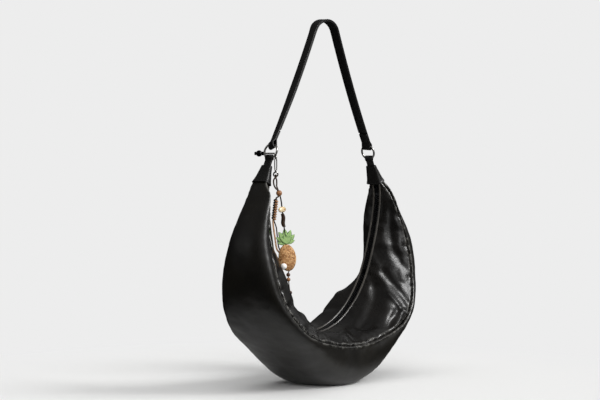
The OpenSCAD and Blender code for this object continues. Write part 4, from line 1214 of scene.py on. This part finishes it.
def build_strap():
    right = even_2d(half, 3.0)
    lens = lengths(np.array(right))
    outer = offset_2d(right, PLY / 2)
    inner = offset_2d(right, -PLY / 2)
    drop = wire_rise(STRAP_W)
    r = WIRE_HOLE + PLY / 2
    g = (right[-1] - right[-2]) / np.linalg.norm(right[-1] - right[-2])
    nrm = np.array([-g[1], g[0]])
    loop = []
    for a in np.radians(np.linspace(112, -112, 46)):
        p = nrm * r * math.sin(a) + g * r * math.cos(a)
        loop.append(leg_end + p - np.array([0, drop * share_of((1.2 - p[1]) / 2.4)]))
    keep = [p for p, s in zip(outer, lens) if s < lens[-1] - LOOP_L]
    tail = [p for p, s in zip(inner, lens) if lens[-1] - FOLD_L - WIRE < s < lens[-1] - LOOP_L][::-1]
    points, faces, uv = strap_ply(even_2d(both_legs(keep + loop + tail), 1.6), STRAP_W)
    outward(piece("strap_leather", points, faces, strap_leather, "strap", "black_leather", ["strap"], uv))
    mid = [p for p, s in zip(inner, lens) if s < lens[-1] - FOLD_L - WIRE - 1.5]
    points, faces, uv = strap_ply(even_2d(both_legs(mid), 1.6), STRAP_W - 0.3)
    outward(piece("strap_lining_leather", points, faces, strap_leather, "strap", "black_leather",
                  ["strap_lining"], uv))
    spots = []
    full = even_2d(both_legs(keep), 4.2)
    for i, u in list(enumerate(normals_2d(full)))[3:-3]:
        at, n, y = laid(full[i], u)
        for e in (-1, 1):
            spots.append((at + y * e * (STRAP_W / 2 - 1.7) + n * (PLY / 2 + 0.1), y.cross(n), n))
    row_of("strap_stitches", stitch, spots, dark_thread, "strap", size=0.85, seed=9)


build_strap()

# Hook and knob
charm = Matrix.Translation((-RING_X, RING_Y, RING_Z)) @ Matrix.Rotation(math.radians(-37), 4, "Z")
TAB_TOP = -RING_R + wire_rise(TAB_W) + WIRE_HOLE + TAB_T
BAR_R, LINK_HALF, LINK_R = 1.3, 1.55, 0.8
BAR_Z = TAB_TOP + 0.3 + BAR_R
BAR_OUT, KNOB_AT, BEND, HOOK_DROP, EYE_R, EYE_WIRE = 6.8, 8.8, 2.7, 30, 3.2, 1.1
KNOB_R = 4.6
X_LEG = BAR_OUT + BEND
string = (charm @ Matrix.Translation((X_LEG, 0, BAR_Z - HOOK_DROP)) @ Matrix.Rotation(math.radians(-8), 4, "Y"))


def turned_part(profile, where, sides=40):
    points, faces = lathe(profile, sides)
    return [where @ p for p in points], faces


def build_hook():
    bar = [Vector((x, 0, BAR_Z)) for x in np.linspace(-KNOB_AT - 7.8, BAR_OUT, 20)]
    bend = [Vector((BAR_OUT + BEND * math.sin(a), 0, BAR_Z - BEND + BEND * math.cos(a)))
            for a in np.linspace(0.12, math.pi / 2, 12)]
    stem = [Vector((X_LEG, 0, z)) for z in np.linspace(BAR_Z - BEND - 0.5, BAR_Z - BEND - 4.2, 5)]
    rod = tube([charm @ p for p in bar + bend + stem], BAR_R, 20, hint=(0, 0, 1))
    top, low = BAR_Z - BEND - 3.0, BAR_Z - HOOK_DROP + EYE_R + 1.6
    link = []
    for k in range(60):
        a = 2 * math.pi * k / 60
        z = (top + low) / 2 + (top - low) / 2 * math.copysign(abs(math.cos(a)) ** 0.8, math.cos(a))
        link.append(Vector((X_LEG + LINK_HALF * math.copysign(abs(math.sin(a)) ** 0.7, math.sin(a)), 0, z)))
    oval = tube([charm @ p for p in link], LINK_R, 14, hint=(0, 1, 0.01), closed=True)
    collar = turned_part([(0, 0), (1.5, 0), (1.9, 0.3), (1.9, 1.7), (1.5, 2.0), (0, 2.0)],
                         charm @ Matrix.Translation((X_LEG, 0, top - 0.6)))
    barrel = turned_part([(0, 0), (1.2, 0), (1.65, 0.4), (1.4, 1.3), (1.65, 2.2), (1.2, 2.6), (0, 2.6)],
                         charm @ Matrix.Translation((X_LEG, 0, low - 1.9)))
    eye = [charm @ Vector((X_LEG + EYE_R * math.cos(a), 0, BAR_Z - HOOK_DROP + EYE_R * math.sin(a)))
           for a in np.linspace(0, 2 * math.pi, 48, endpoint=False)]
    ring = tube(eye, EYE_WIRE, 14, closed=True)
    points, faces = joined([rod[:2], oval[:2], collar, barrel, ring[:2]])
    outward(piece("charm_hook_cast", points, faces, bright_metal, "hook", "bright_metal", ["charm_hook"]))
    shape = [(1.36, 0), (2.5, 0), (2.76, 0.3), (2.76, 1.7), (2.4, 2.08), (2.0, 2.5)]
    shape += [(max(2.0, KNOB_R * math.sin(a)), 6.5 - KNOB_R * math.cos(a))
              for a in np.linspace(0.5, math.pi - 0.45, 26)]
    shape += [(1.9, 10.9), (2.3, 11.2), (2.53, 11.5), (2.53, 12.6), (2.2, 13), (0, 13)]
    points, faces = turned_part(shape, charm @ Matrix.Translation((-KNOB_AT, 0, BAR_Z))
                                @ Matrix.Rotation(-math.pi / 2, 4, "Y"), 48)
    faces = faces + [tuple(range(48))[::-1]]
    outward(piece("charm_knob_turned", points, faces, dark_metal, "hook", "black_metal", ["charm_knob"]))


build_hook()

# The string of beads
BEAD, BRAID_TOP, BRAID_FOOT = (1.2, 0, -27.5), (-4.4, 0, -35.8), (-12, 0, -63.8)
SHELL, WRAP, CROWN, PINE = (2.5, 0, -51.5), (1.9, 0, -67), (2, 0, -101), (0.5, 0, -121.5)
PEARL, BROWN, TAN, TAIL = (-8, -5.6, -132.5), (-1.5, 0, -146), (-2.2, 0, -152.8), (-2.4, 0, -172)
CORD_R = 0.8
ROUTES = {
    "cord_loop": [[1.2, 1, -29], [1.1, 1.1, -25], [0.4, 1.3, -21.5], [-0.4, 1.6, -17], [0.3, 1.9, -13],
                  [0.9, 2.4, -8.3], [0.3, 2.6, -5.6], [0, 2.6, -3.6], [0, 2.3, -2.3], [0, 1.3, -1.3],
                  [0, 0, -1], [0, -1.3, -1.3], [0, -2.3, -2.3], [-0.6, -2.6, -3.6], [-2.8, -2.6, -5],
                  [-4.8, -2.4, -7.4], [-5.4, -2.1, -11], [-5, -1.8, -15.5], [-3.2, -1.5, -19.8],
                  [-1, -1.3, -22.4], [0.6, -1.1, -24.2], [1.2, -1, -26.5], [1.1, -0.8, -29.4],
                  [0.4, -0.3, -31.2], [-1.4, 0, -32.6], [-3.3, 0, -33.4], [-4.2, 0, -34.5], [-4.37, 0, -35.7]],
    "tan_cord": [[-12.9, -0.3, -63.66], [-13.29, -0.3, -65.1], [-13.7, 0.1, -71.5], [-13.7, 0.9, -78.8],
                 [-13.4, 1.7, -86], [-13.2, 1.9, -91], [-13.1, 2.4, -101], [-12.2, 3.6, -107],
                 [-10, 4.8, -111], [-7.4, 5.3, -114]],
    "black_cord": [[-11.16, 1.4, -64.13], [-11.55, 1.4, -65.58], [-10.4, 1.6, -70], [-9.2, 2, -76],
                   [-9.2, 2.3, -83], [-9.3, 3, -91], [-9.2, 4.2, -100], [-8.4, 5.2, -106],
                   [-6.8, 5.7, -110.5]],
    "side_cord": [[2.1, 0, -31.4], [2.6, 0, -36], [2.8, 0, -42], [2.6, 0, -47], [2.5, 0, -51.5],
                  [2.4, 0, -55.5], [2.1, 0, -58], [1.9, 0, -62], [1.9, 0, -67], [1.9, 0, -77],
                  [1.7, 0, -85], [1.3, 0, -93], [0.7, 0, -101], [0.5, 0, -106]],
    "tail_cord": [[0.5, 0, -135], [0.5, 0, -140.4], [-1.25, 0, -143.4], [-1.5, 0, -146], [-1.8, 0, -148.8],
                  [-2.2, 0, -150.6], [-2.2, 0, -152.8], [-2.3, 0, -158], [-2.5, 0, -165], [-2.4, 0, -172],
                  [-2.4, 0, -174]],
}


def build_cord(node, finish, slot, radius=CORD_R, flat=1.0):
    path = [string @ p for p in smooth_path(ROUTES[node], 0.9)]
    points, faces, uv = tube(path, radius, 12, flat, hint=(string.to_3x3() @ Vector((0, 1, 0.001))), dome=False)
    obj = outward(piece(node + "_line", points, faces, finish, "string", slot, [node], uv))


build_cord("cord_loop", brown_cord, "dark_cord", CORD_R * 1.4)
build_cord("tan_cord", tan_cord_wax, "tan_cord", CORD_R * 1.6, 2.0)
build_cord("black_cord", black_cord_wax, "black_cord", CORD_R * 1.2)
build_cord("side_cord", black_cord_wax, "black_cord", CORD_R * 1.3)
build_cord("tail_cord", brown_cord, "dark_cord")


BEAD_SIDES, BEAD_CUT = 36, 0.9  # faces round a bead, and the share of its radius where its ends are cut


def build_bead(name, at, r, bore, finish, slot, node):
    top, sides = BEAD_CUT * r, BEAD_SIDES
    reach_r = [(math.sqrt(max(r * r - z * z, 0)), z) for z in np.linspace(-top, top, 22)]
    rim = [(bore, -top + 0.15)] + [(max(reach_r[0][0] - 0.25, bore + 0.2), -top)] + reach_r[1:-1]
    rim += [(max(reach_r[-1][0] - 0.25, bore + 0.2), top), (bore, top - 0.15)]
    points, faces = turned_part(rim, string @ Matrix.Translation(at), sides)
    n = len(rim)
    last = (n - 1) * sides
    faces += [(last + j, last + (j + 1) % sides, (j + 1) % sides, j) for j in range(sides)]
    return outward(piece(name, points, faces, finish, "string", slot, [node]))


build_bead("top_bead_turned", BEAD, 4.3, CORD_R * 2 + 0.6, bead_wood, "wood", "top_bead")
build_bead("brown_bead_turned", BROWN, 2.9, CORD_R + 0.3, dark_wood, "dark_wood", "brown_bead")
build_bead("tan_bead_turned", TAN, 2.9, CORD_R + 0.3, bead_wood, "wood", "tan_bead")
build_bead("tail_bead_turned", TAIL, 2.9, CORD_R + 0.3, dark_wood, "dark_wood", "tail_bead")


def build_braid():
    """Snake-knot braid: two columns of round knots, one dark and one tan, side by side down a core."""
    top, foot = Vector(BRAID_TOP), Vector(BRAID_FOOT)
    down = (foot - top).normalized()
    side_way = Vector((0, 1, 0)).cross(down).normalized() * -1
    side_way = (side_way * 0.57 + down.cross(side_way) * 0.82).normalized()
    length, rows = 29.0, 8
    upright = string.to_3x3()
    core = tube([string @ (top + down * s) for s in np.linspace(0.4, length - 0.4, 12)], 1.9, 14,
                hint=upright @ Vector((0, 1, 0.001)))
    piece("braid_core", *core[:2], black_cord_wax, "string", "dark_cord", ["braid"], core[2])
    for label, hand, finish, slot in (("tan", 1, tan_cord_wax, "tan_cord"),
                                      ("black", -1, black_cord_wax, "black_cord")):
        path = []
        for k in range(24):
            a = math.radians(15 * k)
            path.append(Vector((hand * (1.5 + 1.2 * math.cos(a)), 1.7 * math.sin(a), -0.9 * math.cos(a))))
        unit = unit_mesh("braid_loop_" + label, *tube(path, 1.15, 8, hint=(0, 0, 1), closed=True)[:2])
        spots = []
        for i in range(rows):
            s = (i + (0.3 if hand < 0 else 0.7)) * (length / rows)
            spots.append((string @ (top + down * s), upright @ side_way, upright @ (-down)))
        row_of("braid_" + label + "_loops", unit, spots, finish, "string", seed=4,
               size=1.0 if hand < 0 else 0.98)


build_braid()


def build_shell():
    """A polished shell toggle: an oblong with soft corners."""
    l, h, t = 15.0, 7.95, 4.93
    rows, n = [], 40
    for u in np.linspace(-1, 1, 33):
        x = u * l / 2
        e = max(0.0, 1 - abs(u) ** 3.4) ** 0.5
        wave = 1 + 0.03 * math.sin(5 * u + 1)
        rows.append([(x, h / 2 * e * wave * math.cos(a), t / 2 * e * math.sin(a)) for a in
                     np.linspace(0, 2 * math.pi, n, endpoint=False)])
    turn = Matrix.Rotation(math.radians(32), 3, "Z")
    points = [string @ (Vector(SHELL) + turn @ Vector((p[0], p[2], p[1]))) for r in rows for p in r]
    faces = wrapped(len(rows), n)
    made, tree, shader, where = finish_of("polished_shell")
    # Mother-of-pearl shell: creamy, with soft brown clouds and a wet shine.
    band = noise_at(tree, where, 5, 4, Distortion=1.5).outputs["Fac"]
    dye(tree, shader, band, (0.35, "#b98d55"), (0.5, "#e6cfa4"), (0.7, "#f6ead2"))
    set_shader(shader, Roughness=0.25, IOR=1.53, Coat_Weight=0.4, Coat_Roughness=0.1, Subsurface_Weight=0.15)
    shader.inputs["Subsurface Radius"].default_value = (0.002, 0.0015, 0.001)
    outward(piece("shell_toggle_polished", points, faces, made, "string", "shell", ["shell_toggle"]))


build_shell()


def build_wrapped():
    """The cord is wound round itself into a slim barrel."""
    l, r, turns = 20.0, 20 * 0.17, 16
    path = []
    for k in range(turns * 22 + 1):
        u = k / (turns * 22)
        a = 2 * math.pi * turns * u
        rr = (r - 0.9) * (0.72 + 0.28 * math.sin(math.pi * u))
        sway = 0.8 * math.sin(2 * math.pi * u)
        turn = Vector((rr * math.cos(a) + sway, rr * math.sin(a), (0.5 - u) * (l - 1.3)))
        path.append(string @ (Vector(WRAP) + turn))
    points, faces, uv = tube(path, 0.66, 8, hint=string.to_3x3() @ Vector((0, 0, 1)))
    outward(piece("wound_cord", points, faces, brown_cord, "string", "dark_cord", ["wrapped_bead"], uv))


build_wrapped()


LEAF_L, LEAF_T = 24, 1.8


def build_crown():
    """Leaves of stitched green felt, with a sewn edge and a rib down the middle."""
    made, tree, shader, where = finish_of("stitched_green_felt")
    # Wool felt pressed flat: matt, fuzzy, darker where the edge is sewn down.
    uvs = add(tree, "ShaderNodeUVMap").outputs["UV"]
    parts = add(tree, "ShaderNodeSeparateXYZ", {"Vector": uvs})
    fuzz = noise_at(tree, where, 0.9, 4).outputs["Fac"]
    level = add(tree, "ShaderNodeMath", {0: parts.outputs["X"], 1: plus_times(tree, fuzz, 0.16, -0.08)},
                operation="ADD")
    dye(tree, shader, level.outputs[0], (0.08, "#335c2b"), (0.24, "#5f8d48"), (0.46, "#a3be7d"),
        (0.84, "#8fb46f"), (0.95, "#4f8441"))
    relief(tree, shader, fuzz, 0.6, 0.25)
    set_shader(shader, Roughness=0.9, Sheen_Weight=0.2)
    points, faces, uv = [], [], []

    def leaf(length, spin, y_off):
        w = length * 0.38
        rows, cols = 15, 9
        for face_side in (1, -1):
            start = len(points)
            for i in range(rows):
                u = i / (rows - 1)
                along_z = length * (u - 0.5)
                r = (length ** 2 + w ** 2) / (4 * w)
                half_w = max(math.sqrt(max(r * r - along_z * along_z, 0)) - (r - w / 2), 0.03)
                for j in range(cols):
                    v = 2 * j / (cols - 1) - 1
                    rib = 0.25 * math.exp(-(v / 0.12) ** 2)
                    puffed = (1 - abs(v) ** 2.5) * (1 - abs(2 * u - 1) ** 6)
                    y = -face_side * (0.25 + (LEAF_T / 2 - 0.25) * puffed - rib * 0.8)
                    p = Vector((v * half_w, y + y_off + 1.2 * (u - 0.3) ** 2 * (1 if y_off == 0 else -1),
                                along_z + length * 0.42))
                    p = Matrix.Rotation(math.radians(spin), 4, "Y") @ p
                    points.append(string @ (Vector(CROWN) + p))
                    uv.append((min(1 - abs(v), 1 - rib * 1.2 if abs(v) < 0.2 else 1), u))
            for i in range(rows - 1):
                for j in range(cols - 1):
                    a = start + i * cols + j
                    q = (a, a + 1, a + cols + 1, a + cols)
                    faces.append(q if face_side > 0 else q[::-1])
        back_start = len(points) - rows * cols
        front_start = back_start - rows * cols
        ring = [(i, 0) for i in range(rows)] + [(rows - 1, j) for j in range(1, cols)] + \
               [(i, cols - 1) for i in range(rows - 2, -1, -1)] + [(0, j) for j in range(cols - 2, 0, -1)]
        for (i0, j0), (i1, j1) in zip(ring, ring[1:] + ring[:1]):
            faces.append((front_start + i0 * cols + j0, back_start + i0 * cols + j0,
                          back_start + i1 * cols + j1, front_start + i1 * cols + j1))
    for spin, share in zip((-78, -52, -27, 0, 27, 52, 78), (0.62, 0.82, 0.94, 1, 0.94, 0.82, 0.62)):
        leaf(LEAF_L * share, spin, 0)
    for spin in (-40, -13, 13, 40):
        leaf(LEAF_L * 0.62, spin, -1.26)
    outward(piece("leaf_crown_felt", points, faces, made, "string", "leaf", ["leaf_crown"], uv))


build_crown()


PINE_X, PINE_Y, PINE_Z = 13.1, 6, 19.4
PEARL_R = 4.6


def build_pineapple():
    made, tree, shader, where = finish_of("crumbled_cork")
    # Agglomerated cork: warm tan crumbs a millimetre or two wide, darker in the joints, dry and matt.
    size = {"Vector": where, "Scale": 1 / (1.7 * MM)}
    crumbs = add(tree, "ShaderNodeTexVoronoi", size)
    edges = add(tree, "ShaderNodeTexVoronoi", size, feature="DISTANCE_TO_EDGE")
    speck = noise_at(tree, where, 0.8, 5, Roughness=0.7).outputs["Fac"]
    grey = add(tree, "ShaderNodeSeparateColor", {"Color": crumbs.outputs["Color"]})
    both = times(tree, grey.outputs[0], speck)
    colour = ramp(tree, both, (0.05, "#8a5c36"), (0.25, "#c79460"), (0.55, "#e6bd88"), (0.8, "#f2d9b0"))
    joint = between(tree, edges.outputs["Distance"], from_max=0.12)
    toned = add(tree, "ShaderNodeMix", {0: joint, 6: tint("#80552f"), 7: colour}, data_type="RGBA")
    tree.links.new(toned.outputs[2], shader.inputs["Base Color"])
    relief(tree, shader, both, 0.7, 0.35)
    set_shader(shader, Roughness=0.8)
    rows, n = 60, 90
    points = []
    for i in range(rows):
        t = math.pi * (i + 0.5) / rows
        for j in range(n):
            a = 2 * math.pi * j / n
            p = Vector((PINE_X * math.sin(t) * math.cos(a), PINE_Y * math.sin(t) * math.sin(a),
                        PINE_Z * math.cos(t)))
            p *= 1 + 0.012 * noise.noise(p / 1.1) + 0.012 * noise.noise(p / 3.5)
            points.append(p)
    faces = [(k * n + j, (k + 1) * n + j, (k + 1) * n + (j + 1) % n, k * n + (j + 1) % n)
             for k in range(rows - 1) for j in range(n)]
    faces += [tuple(range(n)), tuple((rows - 1) * n + j for j in range(n))[::-1]]
    points = [string @ (Vector(PINE) + p) for p in points]
    outward(piece("cork_pineapple", points, faces, made, "string", "cork", ["pineapple"]))
    made, tree, shader, where = finish_of("round_pearl")
    # Glass pearl: white with a soft pink cast under a clear shine.
    dye(tree, shader, noise_at(tree, where, 5, 1).outputs["Fac"], (0.3, "#f3efe9"), (0.7, "#fffdf8"))
    set_shader(shader, Roughness=0.18, Coat_Weight=0.5, Coat_Roughness=0.08)
    profile = [(PEARL_R * math.sin(a), -PEARL_R * math.cos(a)) for a in np.linspace(0.02, math.pi - 0.02, 40)]
    points, faces = turned_part(profile, string @ Matrix.Translation(PEARL), 48)
    outward(piece("glass_pearl", points, faces, made, "string", "pearl", ["pearl"]))


build_pineapple()

# CAD nodes that stay
for name, finish in (("zip_tape_front", tape_cloth), ("zip_tape_back", tape_cloth),
                     ("zip_end_stops", tooth_metal), ("zip_slider", tooth_metal), ("zip_pull", tooth_metal)):
    nodes[name].data.materials.clear()
    nodes[name].data.materials.append(finish)

# Floor, backdrop, light, camera
WALL_TONE = "#ededed"


def build_floor():
    """A seamless paper sweep. Past the object's shadow it turns into the plain backdrop.
    For all rays but the camera's it turns dark grey a few centimetres out from the bag:
    painted shade on the floor, which the bag mirrors.
    """
    made = bpy.data.materials.new("pale_paper_floor")
    made.use_nodes = True
    tree = made.node_tree
    tree.nodes.clear()
    where = add(tree, "ShaderNodeTexCoord").outputs["Object"]
    far = add(tree, "ShaderNodeVectorMath", {0: where}, operation="LENGTH")
    fade, dim = [add(tree, "ShaderNodeMapRange",
                     {"Value": far.outputs["Value"], "From Min": near, "From Max": end},
                     interpolation_type="SMOOTHSTEP") for near, end in ((0.30, 0.62), (0.04, 0.30))]
    paper = add(tree, "ShaderNodeBsdfDiffuse", {"Color": tint("#e8e8e7")})
    plain = add(tree, "ShaderNodeEmission", {"Color": tint(WALL_TONE), "Strength": 1.0})
    seen = add(tree, "ShaderNodeLightPath")
    # Dark grey floor seen by all rays but the camera's: painted shade round the bag, mirrored in its underside
    studio = add(tree, "ShaderNodeBsdfDiffuse", {"Color": tint("#2c2c2c")})
    shown = add(tree, "ShaderNodeMixShader", {"Fac": fade.outputs["Result"], 1: paper.outputs[0],
                                              2: plain.outputs[0]})
    other = add(tree, "ShaderNodeMixShader", {"Fac": dim.outputs["Result"], 1: paper.outputs[0],
                                              2: studio.outputs[0]})
    mixed = add(tree, "ShaderNodeMixShader", {"Fac": seen.outputs["Is Camera Ray"], 1: other.outputs[0],
                                              2: shown.outputs[0]})
    add(tree, "ShaderNodeOutputMaterial", {"Surface": mixed.outputs[0]})
    bpy.ops.mesh.primitive_circle_add(vertices=96, radius=9, fill_type="NGON", location=(-0.06, 0.02, -0.0004))
    floor = bpy.context.object
    floor.name = "floor"
    floor.data.materials.append(made)


build_floor()

world = bpy.data.worlds.new("studio")
scene.world = world
world.use_nodes = True
tree = world.node_tree
tree.nodes.clear()
seen = add(tree, "ShaderNodeLightPath")
view_az = math.radians(55)
right = Vector((math.cos(view_az), -math.sin(view_az), 0))
ahead = Vector((math.sin(view_az), math.cos(view_az), 0))
up = Vector((0, 0, 1))
way = add(tree, "ShaderNodeTexCoord").outputs["Generated"]
glow = 0.05  # the dimmest part of the room
# Soft light in the room: where it comes from, how narrow it is, how strong
for course, narrow, amount in ((right * 0.9 - ahead * 0.4 + up * 0.9, 10, 0.9), (up, 2, 0.08),
                               (right * 0.7 + ahead * 0.8 + up * 0.55, 9, 0.35),
                               (up * 0.2 - right * 0.93 - ahead * 0.34, 14, 0.7)):
    near = add(tree, "ShaderNodeVectorMath", {0: way, 1: course.normalized()}, operation="DOT_PRODUCT")
    clear = add(tree, "ShaderNodeMath", {0: near.outputs["Value"], 1: 0.0}, operation="MAXIMUM")
    power = add(tree, "ShaderNodeMath", {0: clear.outputs[0], 1: narrow}, operation="POWER")
    glow = plus_times(tree, power.outputs[0], amount, glow)
height = add(tree, "ShaderNodeSeparateXYZ", {"Vector": way}).outputs["Z"]
haze = add(tree, "ShaderNodeMapRange", {"Value": height, "From Min": -0.05, "From Max": 0.4},
           interpolation_type="SMOOTHSTEP")
glow = times(tree, haze.outputs["Result"], glow)
sky = add(tree, "ShaderNodeBackground", {"Color": tint("#ffffff"), "Strength": glow})
wall = add(tree, "ShaderNodeBackground", {"Color": tint(WALL_TONE), "Strength": 1.0})
shown = add(tree, "ShaderNodeMixShader", {"Fac": seen.outputs["Is Camera Ray"], 1: sky.outputs[0],
                                          2: wall.outputs[0]})
add(tree, "ShaderNodeOutputWorld", {"Surface": shown.outputs[0]})


LAMP_AIM = (0, 0, 0.2)


def lamp(name, kind, at, strength, size, shine=True, light=True):
    """A sun of size degrees, or a rectangle of size metres, that shines from at towards the bag.
    shine is whether smooth surfaces mirror it, light whether matt ones get it."""
    data = bpy.data.lights.new(name, kind)
    data.energy = strength
    if kind == "SUN":
        data.angle = math.radians(size)
    else:
        data.shape, data.size, data.size_y = "RECTANGLE", size[0], size[1]
    obj = bpy.data.objects.new(name, data)
    obj.location = at
    obj.rotation_euler = (Vector(LAMP_AIM) - Vector(at)).to_track_quat("-Z", "Y").to_euler()
    obj.visible_glossy, obj.visible_diffuse = shine, light
    scene.collection.objects.link(obj)


lamp("key", "SUN", right * 1.0 - ahead * 0.2 + up * 0.9, 1.75, 26)
lamp("fill", "SUN", up * 1.2 - right * 0.15 - ahead * 0.1, 0.95, 60, shine=False)
lamp("front", "SUN", right * 0.35 - ahead * 1.0 + up * 0.5, 2.4, 70, shine=False)
lamp("strip", "AREA", right * 1.2 - ahead * 0.6 + up * 0.55, 2.2, (0.5, 1.3), light=False)

camera = bpy.data.cameras.new("camera")
camera.lens, camera.sensor_width = 98.0, 36.0
PHOTO_W, VIEW_FAR, VIEW_HEIGHT = 600, 2.45, 0.3255  # pixels, metres, metres
camera.shift_x, camera.shift_y = -23 / PHOTO_W, -35 / PHOTO_W
camera.clip_start, camera.clip_end = 0.1, 60
eye = bpy.data.objects.new("camera", camera)
eye.location = -ahead * VIEW_FAR + Vector((0, 0, VIEW_HEIGHT))
eye.rotation_euler = (math.pi / 2, 0, -view_az)
scene.collection.objects.link(eye)
scene.camera = eye
scene.view_settings.view_transform = "Standard"
